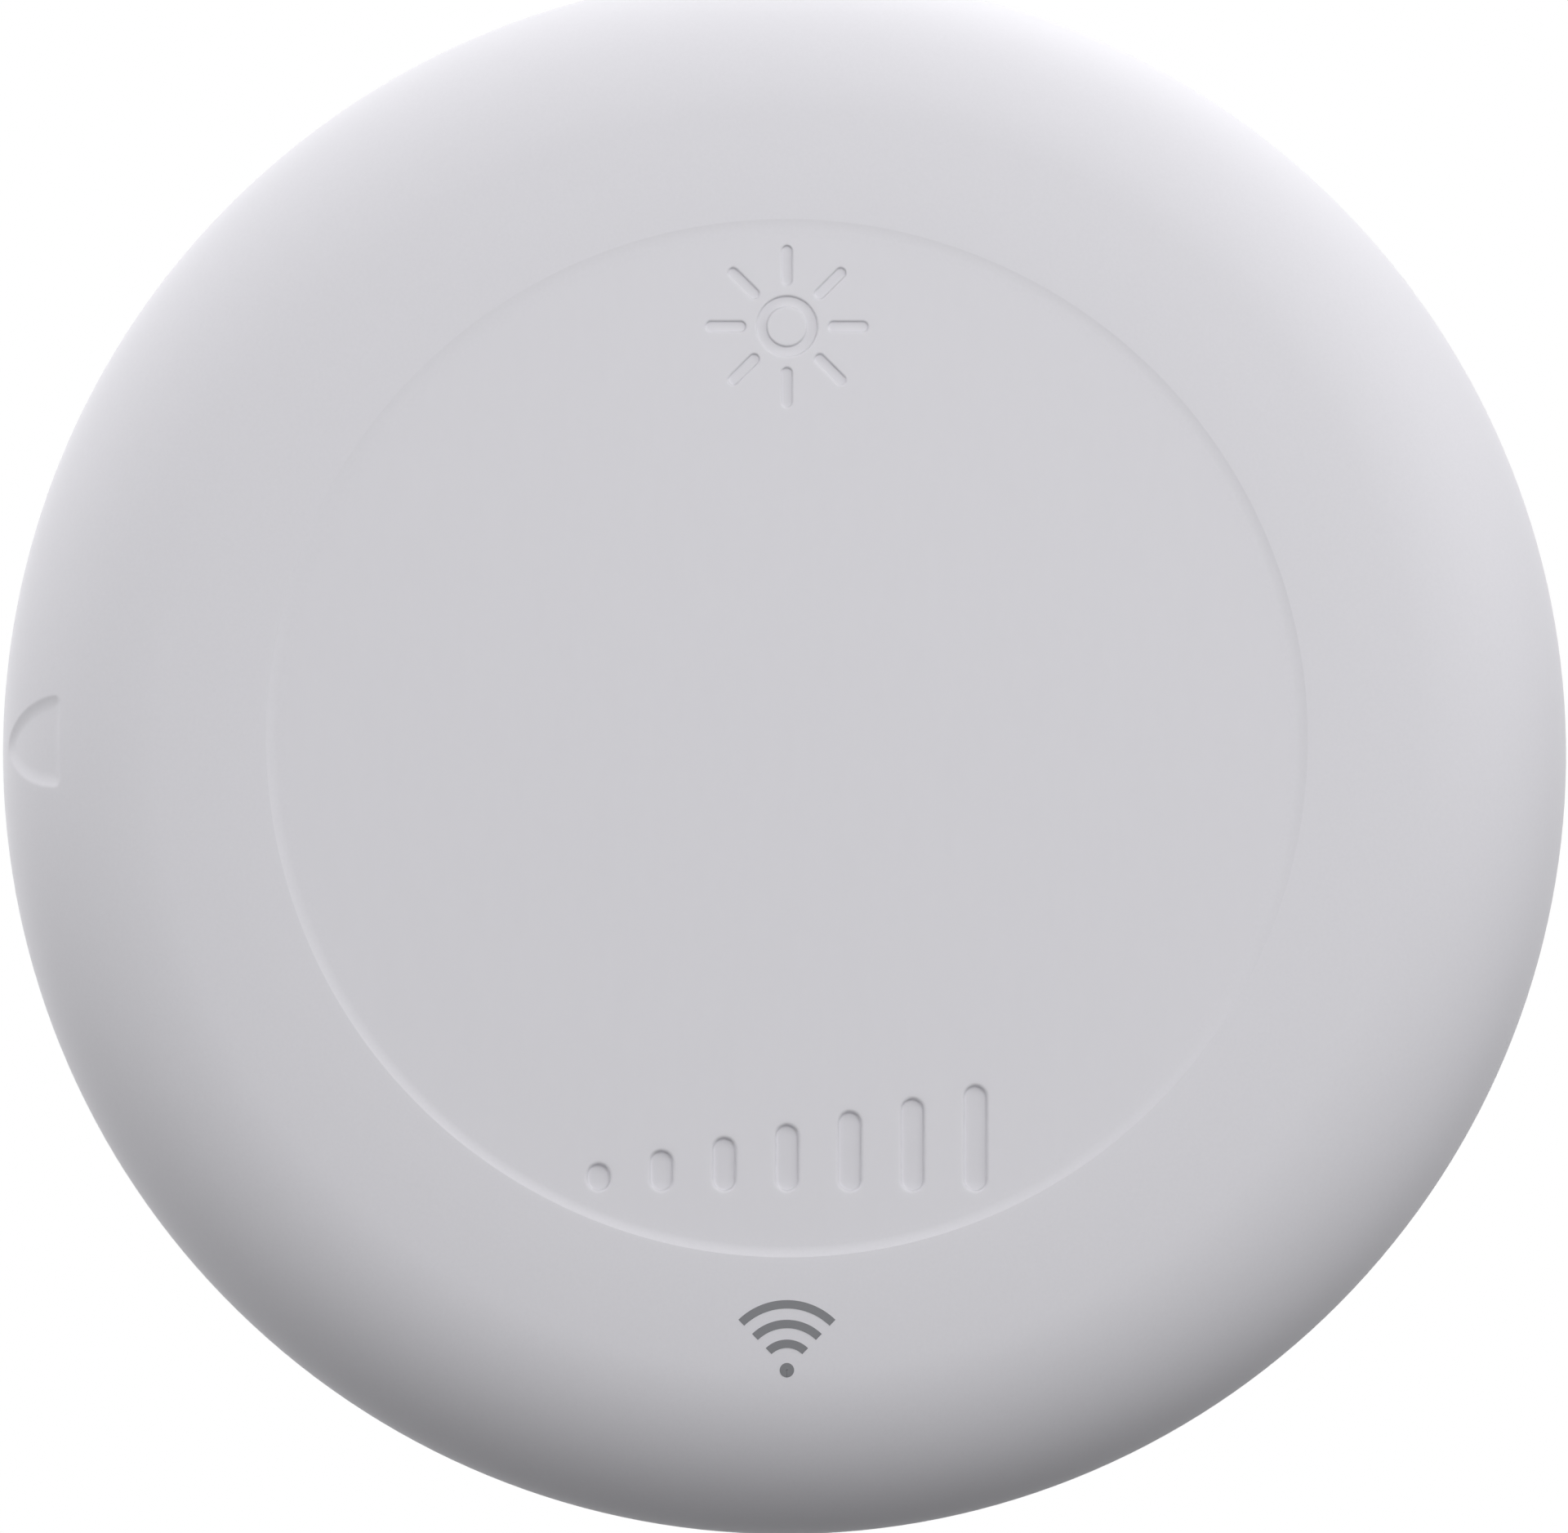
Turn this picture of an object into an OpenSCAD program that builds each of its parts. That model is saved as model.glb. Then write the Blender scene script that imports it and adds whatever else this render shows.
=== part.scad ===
// Wall-mounted wireless sun sensor. A round white head locks onto a wall foot with a bayonet.
// Pieces are drawn in a face frame: x to the right, y up and z out of the wall.
// facing() stands that frame up: the wall becomes the plane y = 0 and the front looks along -Y.

/* [Housing] */
// Diameter of the housing seen from the front
housing_d = 120; // [117:1:130]
// Depth from the wall to the crest of the front
housing_depth = 38; // [37:0.5:44]
// Width of the rolled ring around the face
ring_w = 20.3; // [18:0.1:22]
// Radius of the roll at the outer edge
roll_r = 13.2; // [12:0.1:14]
// Radius of the long curve that draws the side in towards the wall
side_r = 60; // [50:1:90]
// Depth of the face below the ring
face_step = 0.35; // [0.2:0.05:0.6]
// Wall thickness of the front cover
cover_wall = 2.2; // [1.8:0.1:2.5]
// Wall thickness of the cover's rear rim
rim_wall = 2.5; // [2.3:0.1:3]
// Floor thickness of the rear shell
floor_t = 2; // [1.8:0.1:2.4]

/* [Fits] */
// Gap between pieces that move on each other
run_gap = 0.3; // [0.2:0.05:0.4]
// Gap at a seam between two mouldings
seam_gap = 0.2; // [0.15:0.05:0.3]

/* [Face marks] */
// Distance from the edge of the face to the centre of the sun mark
sun_inset = 8.2; // [7.5:0.1:10]
// Diameter over the rays of the sun mark
sun_d = 12.4; // [10:0.1:13]
// Length of one ray
ray_l = 3.05; // [2:0.05:3.4]
// Diameter of the sun mark's ring groove
sun_ring_d = 4.66; // [3.8:0.1:5]
// Width of a stroke in the sun mark
stroke_w = 0.8; // [0.5:0.05:1]
// Depth of the sunk marks
mark_depth = 0.4; // [0.2:0.05:0.6]
// Distance from the edge of the face to the centre of the level scale
scale_inset = 8.9; // [7:0.1:12]
// Width of the level scale
scale_w = 31; // [24:0.5:36]
// Height of the tallest bar in the level scale
scale_h = 8; // [6:0.1:9]
// Width of one bar
bar_w = 1.3; // [0.8:0.1:1.8]
// Number of bars
bar_count = 7; // [5:1:9]
// Width of the recess in the rim
rim_recess_w = 7.1; // [5:0.1:9]
// Length of the recess in the rim seen from the front
rim_recess_l = 4; // [3:0.1:5]
// Depth of the recess in the rim
rim_recess_depth = 0.5; // [0.3:0.05:0.7]

/* [Wall foot] */
// Diameter of the foot
foot_d = 60; // [58:0.5:61]
// Height of the foot's rim from the wall
foot_h = 8.6; // [8:0.1:9]
// Floor thickness of the foot
foot_floor = 3; // [2:0.1:3.6]
// Wall thickness of the foot's rim
foot_wall = 2; // [1.6:0.1:2.2]
// Outer diameter of the bayonet hub
hub_d = 36; // [34:0.5:36.5]
// Wall thickness of the hub
hub_wall = 2.6; // [2:0.1:3]
// Distance between the two screw slots
screw_spacing = 46; // [45:0.5:46.5]
// Width of a screw slot
screw_slot_w = 4.5; // [4:0.1:5]
// Length of a screw slot from end to end
screw_slot_l = 8; // [7:0.5:8.5]
// Number of bayonet lugs
lug_count = 3; // [2:1:4]
// Angle that one lug spans
lug_span = 20; // [14:1:22]
// Reach of a lug beyond the hub
lug_reach = 1.8; // [1.4:0.1:2]
// Angle that the head turns to unlock
unlock_turn = 25; // [24:1:32]

/* [Battery bay] */
// Diameter of one cell
cell_d = 10.5; // [10.1:0.1:10.6]
// Length of one cell over its nipple
cell_l = 44.5; // [44:0.1:44.8]
// Space between the two cells
cell_gap = 1; // [0.8:0.1:1.2]
// Length of a battery spring
spring_l = 5.5; // [5:0.1:6]
// Wall thickness of the bay
bay_wall = 1.5; // [1.2:0.1:1.8]

/* [Circuit board] */
// Thickness of the circuit board
board_t = 1.6; // [1:0.1:2]
// Width of the processor
processor_w = 7; // [5:0.5:9]
// Width of the radio board
radio_w = 16; // [14:0.5:18]
// Radius of the antenna's windings
antenna_r = 2.2; // [1.8:0.1:2.6]
// Number of windings
antenna_turns = 7; // [5:1:8]
// Diameter of the light guide
guide_d = 6; // [5:0.1:6.2]

/* [Controls] */
// Diameter of the threshold dial
dial_d = 12.5; // [11.5:0.1:13]
// Diameter of a button's cap
button_d = 6.4; // [5:0.1:7]
// Travel of a button
button_travel = 0.5; // [0.3:0.05:0.6]

/* [Hidden] */
$fn = 96;
// Overrun of every cut
cut = 1;
// Overlap that fuses two shapes of one moulding
bite = 0.5;

// Housing
housing_r = housing_d / 2;
face_r = housing_r - ring_w;
step_w = 0.5;
crown_r = 75;
roll_a = 84;
roll_steps = 20;
crown_steps = 4;
side_steps = 8;
roll_cr = housing_r - roll_r;
crown_cr = roll_cr - (crown_r - roll_r) * cos(roll_a);
z_equator = housing_depth - crown_r + (crown_r - roll_r) * sin(roll_a);
step_out = face_r + step_w;
crown_a = step_out < crown_cr ? 90 : acos((step_out - crown_cr) / crown_r);
z_face = housing_depth - face_step;
z_ceiling = z_face - cover_wall;

// Bayonet and wall foot
foot_r = foot_d / 2;
hub_r = hub_d / 2;
foot_gap = 0.4;
z_back = foot_h + foot_gap;
ledge_h = 1.8;
lug_h = 1.8;
z_ledge = z_back + ledge_h;
z_lug = z_ledge + run_gap;
hub_lip = 0.2;
z_hub = z_lug + lug_h + hub_lip;
well_gap = 0.5;
well_wall = 1.8;
well_floor = 2;
z_well = z_hub + well_gap;
well_r = hub_r + lug_reach + run_gap;
well_out = well_r + well_wall;
ledge_in = hub_r + run_gap;
stop_in = ledge_in + seam_gap;
ledge_margin = 2;
stop_gap = 0.6;
stop_span = 3;
first_lug_a = 90;
drain_w = 6;
drain_h = 2.4;

// Rear shell and seam
z_floor = z_back + floor_t;
z_edge = z_floor + seam_gap;
edge_cut = 0.4;
edge_r = housing_r - side_r + sqrt(side_r * side_r - pow(z_equator - z_edge, 2));
bore_r = edge_r - rim_wall;
flange_r = edge_r - run_gap;
flange_round = 1.5;
flange_steps = 6;
spigot_r = bore_r - run_gap;
spigot_wall = 3.2;
spigot_in = spigot_r - spigot_wall;
spigot_h = 7;
z_spigot = z_floor + spigot_h;
z_chamfer = z_spigot + cover_wall;

// Seal
seal_d = 1.6;
seal_gap = 0.15;
seal_r = bore_r - seal_gap - seal_d / 2;
groove_depth = 1.5;
groove_w = 2.2;
z_seal = z_floor + spigot_h / 2;

// Cover screws
screw_count = 4;
screw_first_a = 45;
boss_r = 3.2;
boss_gap = 0.6;
boss_lift = 2.2;
boss_place = spigot_in - boss_gap - boss_r;
z_boss = z_floor + boss_lift;
post_r = 4.2;
rib_t = 1.6;
screw_head_r = 2.7;
screw_head_h = 1.6;
screw_r = 1.2;
screw_l = 13;
screw_hole_r = 1.7;
pilot_gap = 0.15;
pilot_spare = 2;
head_gap = 0.4;
head_sink = 0.3;
z_screw_head = z_back + head_sink + screw_head_h;
z_screw_tip = z_screw_head + screw_l;
drive_r = 1.4;
drive_depth = 0.9;

// Battery bay and door
cell_r = cell_d / 2;
trough_r = cell_r + seam_gap + pilot_gap;
contact_t = 0.4;
bay_half = (cell_l + spring_l) / 2 + contact_t;
bay_inner_edge = well_out - well_wall / 2;
bay_top = -(well_out + bay_wall);
cell_y = [bay_top - trough_r, bay_top - trough_r - cell_d - cell_gap];
bay_bottom = cell_y[1] - trough_r;
cell_lift = 0.45;
z_cell = z_floor + cell_lift + cell_r;
z_bay_roof = z_cell + trough_r + bay_wall;
nipple_r = 1.9;
nipple_l = 0.9;
cell_round = 0.5;
arch_steps = 10;
door_t = floor_t - seam_gap;
door_margin = 1.2;
door_half = bay_half + door_margin;
door_top = bay_top + bite;
tongue_w = 1;
tongue_t = 0.6;
slot_half = door_half + seam_gap;
pad_t = 1.6;
pad_margin = 1.2;
pad_half = slot_half + tongue_w + pad_margin;
grip_count = 4;
grip_l = 16;
grip_w = 1;
grip_h = 0.4;
grip_pitch = 2.2;
grip_inset = 4;

// Battery contacts and leads
contact_drop = 4.5;
contact_gap = 0.3;
contact_r = trough_r - contact_gap;
tail_w = 1.6;
tail_l = 2.3;
tail_gap = 0.2;
spring_wire_r = 0.3;
spring_base_r = 3.6;
spring_tip_r = 1.7;
spring_turns = 4;
spring_rings = 8;
spring_seat = 0.05;
lead_r = 0.6;
lead_sides = 8;
lead_steps = 3;
// Routes of the two leads, from the bay's right end to the board
positive_route = [[27.3, -29, 16.7], [28.6, -29, 16.7], [30.4, -28.4, 16.8], [33, -26, 17.4],
    [35, -22.5, 19.4], [36.2, -18.6, 20.9], [36.5, -16, 20.9], [36.5, -14.8, 20.2],
    [36.5, -14.8, 18.6]];
negative_route = [[27.3, -40.5, 16.7], [28.6, -40.5, 16.7], [29.6, -39.6, 17.4],
    [29.8, -36, 19.2], [29.8, -30, 20.8], [30.6, -23, 21.6], [32, -18, 21.4],
    [32.5, -15.6, 20.6], [32.5, -15, 19.8], [32.5, -15, 18.6]];

// Circuit board and what stands on it
board_gap = 1.4;
z_board = z_well + well_floor + board_gap;
z_board_top = z_board + board_t;
board_r = boss_place - boss_r - run_gap;
board_bay_gap = 3;
board_bottom = board_bay_gap - bay_inner_edge;
board_hole_r = 1.2;
board_post_r = 3;
board_post_inset = 4.2;
board_post_place = board_r - board_post_inset;
board_post_angles = [5, 175, 75];
board_pilot_r = 1.1;
board_screw_r = 1;
board_screw_l = 6;
board_head_r = 2.2;
board_head_h = 1.5;
sun_y = face_r - sun_inset;
sensor_w = 4.2;
sensor_l = 3.8;
sensor_h = 1.3;
sensor_lens_r = 1.2;
sensor_lens_h = 0.2;
guide_r = guide_d / 2;
guide_gap = 0.1;
guide_reach = 0.5;
window_depth = 1;
window_gap = 0.6;
holder_wall = 1.3;
holder_r = guide_r + guide_gap + holder_wall;
holder_foot_r = holder_r + 1;
holder_foot_h = 1;
z_holder = z_ceiling - 2.4;
guide_collar_h = 0.8;
guide_collar_r = holder_r - 0.2;
collar_gap = 0.4;
collar_wall = 1.2;
collar_h = 3;
pin_w = 0.3;
pin_pitch = 0.8;
pin_l = 1;
pin_t = 0.2;
pin_count = 8;
chip_h = 1.4;
chip_lift = 0.1;
processor_place_shares = [-0.33, 0.25];
radio_place_shares = [0.42, 0.3];
radio_l = 13;
radio_t = 0.8;
shield_inset = 1.2;
shield_h = 1.8;
shield_r = 0.8;
antenna_place_shares = [0.78, -0.16];
antenna_wire_r = 0.4;
antenna_gap = 2;
antenna_stem = 1;
antenna_pitch = (z_ceiling - antenna_gap - antenna_wire_r - antenna_stem - z_board_top) / antenna_turns;
antenna_rings = 10;
wire_sides = 6;
crystal_place_shares = [-0.64, 0.02];
crystal_l = 11;
crystal_w = 4.6;
crystal_h = 3.4;
crystal_lip = 0.4;
crystal_lip_h = 0.5;
capacitor_place_shares = [-0.7, -0.22];
capacitor_r = 3.2;
capacitor_h = 7.5;
capacitor_groove = 0.25;
capacitor_groove_h = 0.8;
passive_l = 2;
passive_w = 1.2;
passive_h = 0.6;
// Places of the small parts on the board, as shares of its radius, with 1 where one is turned
passive_place_shares = [[-0.33, 0.46, 0], [-0.26, 0.46, 0], [-0.19, 0.46, 0], [-0.12, 0.25, 1],
    [-0.12, 0.19, 1], [-0.33, 0.05, 0], [-0.26, 0.05, 0], [-0.19, 0.05, 0], [-0.52, 0.26, 1],
    [-0.52, 0.2, 1], [0.13, 0.36, 1], [0.13, 0.29, 1], [0.13, 0.22, 1], [0.42, 0.06, 0],
    [0.5, 0.06, 0], [0.6, -0.1, 1], [0.6, -0.17, 1], [0.1, -0.2, 0], [0.18, -0.2, 0],
    [0.26, -0.2, 0], [-0.3, -0.24, 0], [-0.38, -0.24, 0], [0.18, 0.66, 0], [0.26, 0.66, 0]];

// Controls on the back of the head
dial_r = dial_d / 2;
dial_margin = 0.75;
control_r = foot_r + dial_margin + dial_r;
dial_a = 115;
program_a = 60;
mode_a = 35;
dial_pocket_r = dial_r + run_gap;
dial_t = 2.3;
dial_sink = 0.2;
dial_seat_wall = 1.8;
dial_seat_t = 1;
dial_slot_w = 1;
dial_slot_depth = 0.9;
dial_slot_margin = 1.2;
dial_pointer_r = 0.45;
z_dial = z_back + dial_sink;
z_dial_top = z_dial + dial_t;
z_seat = z_dial_top + run_gap;
z_seat_top = z_seat + dial_seat_t;
shaft_r = 2;
shaft_end = 1;
pot_w = 9.5;
pot_roof = 0.7;
z_pot = z_seat_top + run_gap;
button_r = button_d / 2;
button_proud = 0.4;
button_flange_r = button_r + 1;
button_flange_h = 0.8;
button_tip_r = 1.5;
button_tip_h = 0.6;
z_button = z_back - button_proud;
z_button_flange = z_floor + seam_gap;
z_button_top = z_button_flange + button_flange_h;
z_stem = z_button_top + button_tip_h;
stem_r = 1.7;
stem_gap = 0.15;
switch_w = 6;
switch_body_h = 3.3;
stem_reach = 0.5;
stem_spare = 0.6;
z_switch = z_board - switch_body_h;
led_a = 6;
led_inset = 2;
led_place = control_r - led_inset;
led_l = 2.4;
led_w = 1.4;
led_h = 1;
window_r = 1.6;
window_fit = 0.1;
window_collar_r = 2.4;
window_collar_h = 0.8;
vent_place_shares = [0.74, -0.14];
vent_cap_r = 4.5;
vent_cap_h = 0.8;
vent_stem_r = 2.4;
vent_lip_r = 2.9;
vent_lip_h = 0.8;
label_w = 18;
label_l = 30;
label_t = 0.1;
label_place_share = 0.72;

// Helpers

// Stands the face frame against the wall
module facing() {
    rotate([90, 0, 0]) children();
}

// Point at radius r and angle a in the face frame
function polar(r, a) = [r * cos(a), r * sin(a), 0];

// Point of the board from shares of its radius
function on_board(shares) = [shares[0] * board_r, shares[1] * board_r, 0];

// Points of an arc from angle a0 to a1, without its first point when skip is 1
function arc(cr, cz, r, a0, a1, steps, skip = 0) = [for (i = [skip:steps])
    let (a = a0 + (a1 - a0) * i / steps) [cr + r * cos(a), cz + r * sin(a)]];

// A cylinder that starts at height z
module rod(r, z, h) {
    translate([0, 0, z]) cylinder(r = r, h = h);
}

// A block centred on x and y that starts at height z
module block(size, z) {
    translate([0, 0, z + size[2] / 2]) cube(size, center = true);
}

// Outline of a bar with round ends that runs along y
function bar_points(length, width) = concat(
    arc(0, (length - width) / 2, width / 2, 0, 180, arch_steps),
    arc(0, -(length - width) / 2, width / 2, 180, 360, arch_steps));

// Four turned copies at the cover screws
module at_screws() {
    for (i = [0:screw_count - 1]) rotate([0, 0, screw_first_a + 360 * i / screw_count])
        translate([boss_place, 0, 0]) children();
}

// Copies at the posts under the circuit board
module at_board_posts() {
    for (a = board_post_angles) translate(polar(board_post_place, a)) children();
}

// A ring sector from angle a0 to a1
module sector(r_in, r_out, z, h, a0, a1) {
    rotate([0, 0, a0]) rotate_extrude(angle = a1 - a0)
        translate([r_in, z]) square([r_out - r_in, h]);
}

// Housing outline from the axis over the front and down the side, sunk by inset
function skin(inset, z_end) = concat(
    [[0, z_face - inset], [face_r, z_face - inset]],
    step_out < crown_cr ? [[step_out, housing_depth - inset]] : [],
    arc(crown_cr, housing_depth - crown_r, crown_r - inset, crown_a, roll_a, crown_steps),
    arc(roll_cr, z_equator, roll_r - inset, roll_a, 0, roll_steps, 1),
    arc(housing_r - side_r, z_equator, side_r - inset, 0,
        -asin((z_equator - z_end) / (side_r - inset)), side_steps, 1));

// Direction of a path at point i
function heading(path, i) = let (d = path[min(i + 1, len(path) - 1)] - path[max(i - 1, 0)])
    d / norm(d);

// Turns side vector u square to direction t
function squared(u, t) = let (v = u - (u * t) * t) v / norm(v);

// Side vectors carried along a path without twist
function sides_along(path, start) = [for (i = 0, u = squared(start, heading(path, 0));
    i < len(path); i = i + 1, u = i < len(path) ? squared(u, heading(path, i)) : u) u];

// A round wire swept along a path
module wire(path, r, sides, start) {
    u = sides_along(path, start);
    last = len(path) - 1;
    points = [for (i = [0:last], k = [0:sides - 1])
        let (v = cross(heading(path, i), u[i]), a = 360 * k / sides)
        path[i] + r * (cos(a) * u[i] + sin(a) * v)];
    walls = [for (i = [0:last - 1], k = [0:sides - 1], half = [0, 1])
        let (n = (k + 1) % sides, a = i * sides + k, b = i * sides + n)
        half == 0 ? [a, b + sides, b] : [a, a + sides, b + sides]];
    ends = [for (k = [1:sides - 2], end = [0, 1])
        end == 0 ? [0, k, k + 1] : [last * sides, last * sides + k + 1, last * sides + k]];
    polyhedron(points, concat(walls, ends));
}

// A smooth curve through the points of a route
function smooth(route, steps) = concat([for (i = [0:len(route) - 2], s = [0:steps - 1])
    let (a = route[max(i - 1, 0)], b = route[i], c = route[i + 1],
        d = route[min(i + 2, len(route) - 1)], t = s / steps)
    b + t * (c - a) / 2 + t * t * (2 * a - 5 * b + 4 * c - d) / 2
        + t * t * t * (3 * b - a - 3 * c + d) / 2], [route[len(route) - 1]]);

// Least gap between turns of a wound wire
function winding_gap(path, r, per_turn) = min([for (i = [0:len(path) - 1],
    j = [i + per_turn / 2:1:len(path) - 1]) norm(path[i] - path[j])]) - 2 * r;

// Housing pieces

// White outer cover: rolled ring, recessed face, sunk marks and screw bosses
module front_cover() {
    color("gainsboro") facing() difference() {
        rotate_extrude() polygon(concat(skin(0, z_edge + edge_cut),
            [[edge_r - edge_cut, z_edge], [0, z_edge]]));
        cover_hollow();
        at_screws() rod(screw_r + pilot_gap, z_boss - cut, z_screw_tip + pilot_spare - z_boss + cut);
        translate([0, sun_y, 0]) rod(guide_r + window_gap, z_ceiling - cut, cut + window_depth);
        sun_mark();
        level_scale();
        rim_recess();
    }
}

// Space inside the cover, less its bosses and the collar round the light guide
module cover_hollow() {
    difference() {
        rotate_extrude() polygon(concat(skin(cover_wall, z_chamfer),
            [[bore_r, z_spigot], [bore_r, z_edge - cut], [0, z_edge - cut]]));
        at_screws() {
            rod(boss_r, z_boss, housing_depth - z_boss);
            translate([0, -rib_t / 2, z_spigot + boss_gap])
                cube([housing_r - boss_place, rib_t, housing_depth - z_spigot]);
        }
        translate([0, sun_y, 0]) difference() {
            rod(holder_r + collar_gap + collar_wall, z_ceiling - collar_h, collar_h + cut);
            rod(holder_r + collar_gap, z_ceiling - collar_h - cut, collar_h + cut);
        }
    }
}

// Sun mark: a ring groove with eight rays
module sun_mark() {
    translate([0, sun_y, z_face - mark_depth]) {
        difference() {
            rod(sun_ring_d / 2, 0, mark_depth + cut);
            rod(sun_ring_d / 2 - stroke_w, -cut, mark_depth + 3 * cut);
        }
        for (i = [0:7]) rotate([0, 0, 45 * i]) translate([0, (sun_d - ray_l) / 2, 0])
            linear_extrude(mark_depth + cut) polygon(bar_points(ray_l, stroke_w));
    }
}

// Level scale: bars that grow in height from left to right
module level_scale() {
    pitch = (scale_w - bar_w) / (bar_count - 1);
    for (i = [0:bar_count - 1]) {
        bar_h = scale_h * (i + 2) / (bar_count + 1);
        translate([i * pitch - (scale_w - bar_w) / 2,
            scale_inset - face_r + (bar_h - scale_h) / 2, z_face - mark_depth])
            linear_extrude(mark_depth + cut) polygon(bar_points(bar_h, bar_w));
    }
}

// D-shaped recess in the left of the rolled rim, sunk square to the roll
module rim_recess() {
    tip = housing_r - bite;
    difference() {
        translate([0, 0, z_equator]) linear_extrude(housing_depth) polygon(
            concat([for (p = arc(0, 0, 1, 90, 270, roll_steps))
                [rim_recess_l * p[0] + rim_recess_l - tip, rim_recess_w / 2 * p[1]]]));
        rotate_extrude() polygon(concat(skin(rim_recess_depth, z_edge), [[0, z_edge]]));
    }
}

// Outline of the rear shell's flange, with its rounded rear edge
function flange_points(z_top) = concat([[0, z_back]],
    arc(flange_r - flange_round, z_back + flange_round, flange_round, -90, 0, flange_steps),
    [[flange_r, z_top], [0, z_top]]);

// Rear shell: flange, spigot, bayonet well, battery bay and posts
module rear_shell() {
    color("silver") facing() {
        difference() {
            union() {
                rotate_extrude() polygon(flange_points(z_floor));
                rotate_extrude() translate([spigot_in, z_floor - bite])
                    square([spigot_wall, spigot_h + bite]);
                rod(well_out, z_floor - bite, z_well + well_floor - z_floor + bite);
                bay_body();
                at_screws() rod(post_r, z_floor - bite, boss_lift - seam_gap + bite);
                at_board_posts() rod(board_post_r, z_floor - bite, z_board - z_floor + bite);
                translate(polar(control_r, dial_a))
                    rod(dial_pocket_r + dial_seat_wall, z_floor - bite, z_seat_top - z_floor + bite);
            }
            rod(well_r, z_back - cut, z_well - z_back + cut);
            bay_hollow();
            door_slot();
            seal_groove();
            shell_holes();
        }
        bayonet_ledges();
    }
}

// Walls of the battery bay and the pad that closes the floor above the door
module bay_body() {
    translate([-bay_half - bay_wall, bay_bottom - bay_wall, z_floor - bite])
        cube([2 * (bay_half + bay_wall), bay_wall - bay_bottom - bay_inner_edge,
            z_bay_roof - z_floor + bite]);
    intersection() {
        rod(spigot_in + bite, z_floor - bite, pad_t + bite);
        translate([-pad_half, -housing_r, z_floor - bite])
            cube([2 * pad_half, housing_r - bay_inner_edge, pad_t + 2 * bite]);
    }
}

// Space for the two cells, arched over each one
module bay_hollow() {
    rotate([90, 0, 90]) translate([0, 0, -bay_half]) linear_extrude(2 * bay_half)
        polygon(concat([[bay_bottom, z_back - cut], [bay_top, z_back - cut]],
            arc(cell_y[0], z_cell, trough_r, 0, 180, arch_steps),
            arc(cell_y[1], z_cell, trough_r, 0, 180, arch_steps)));
    for (y = cell_y) translate([bay_half - bite, y - tail_w / 2 - tail_gap,
        z_cell - contact_t / 2 - tail_gap])
        cube([bay_wall + cut, tail_w + 2 * tail_gap, contact_t + 2 * tail_gap]);
}

// Opening that the door slides in, with a groove along each side
module door_slot() {
    slot_l = housing_r + door_top + seam_gap;
    z_tongue = z_back + (floor_t - tongue_t) / 2 - seam_gap;
    translate([-slot_half, -housing_r, z_back - cut]) cube([2 * slot_half, slot_l, floor_t + cut]);
    translate([-slot_half - tongue_w, -housing_r, z_tongue])
        cube([2 * (slot_half + tongue_w), slot_l, tongue_t + 2 * seam_gap]);
}

// Groove of the seal round the spigot
module seal_groove() {
    rotate_extrude() translate([spigot_r - groove_depth, z_seal - groove_w / 2])
        square([groove_depth + cut, groove_w]);
}

// Holes for screws, dial, buttons, light windows and vent
module shell_holes() {
    at_screws() {
        rod(screw_head_r + head_gap, z_back - cut, z_screw_head - z_back + cut);
        rod(screw_hole_r, z_back, z_boss - z_back);
    }
    at_board_posts() rod(board_pilot_r, z_board - board_screw_l, board_screw_l + cut);
    translate(polar(control_r, dial_a)) {
        rod(dial_pocket_r, z_back - cut, z_seat - z_back + cut);
        rod(shaft_r + run_gap, z_back, z_seat_top - z_back + cut);
    }
    for (a = [program_a, mode_a]) translate(polar(control_r, a))
        rod(button_r + seam_gap, z_back - cut, floor_t + 2 * cut);
    at_leds() rod(window_r + window_fit, z_back - cut, floor_t + 2 * cut);
    translate(vent_place()) rod(vent_stem_r + window_fit, z_back - cut, floor_t + 2 * cut);
}

// Ledges that hold behind the lugs and the stops that end the turn
module bayonet_ledges() {
    for (i = [0:lug_count - 1]) {
        a = first_lug_a + 360 * i / lug_count;
        far = a - unlock_turn - lug_span / 2 - stop_gap;
        near = a + lug_span / 2 + stop_gap;
        sector(ledge_in, well_r + bite, z_back, ledge_h,
            a - lug_span / 2 - ledge_margin, a + lug_span / 2 + ledge_margin);
        sector(stop_in, well_r + bite, z_ledge - bite, lug_h + 2 * bite, near, near + stop_span);
        sector(stop_in, well_r + bite, z_ledge - bite, lug_h + 2 * bite, far - stop_span, far);
    }
}

// Round rubber seal between the shell and the cover
module seal_ring() {
    color("dimgray") facing() rotate_extrude() translate([seal_r, z_seal]) circle(r = seal_d / 2);
}

// Four screws that hold the cover from behind
module cover_screws() {
    color("lightsteelblue") facing() at_screws() difference() {
        union() {
            rod(screw_head_r, z_back + head_sink, screw_head_h);
            rod(screw_r, z_screw_head - bite, screw_l + bite);
        }
        for (a = [0, 90]) rotate([0, 0, a])
            block([2 * drive_r, stroke_w, drive_depth + cut], z_back + head_sink - cut);
    }
}

// Wall foot

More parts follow.
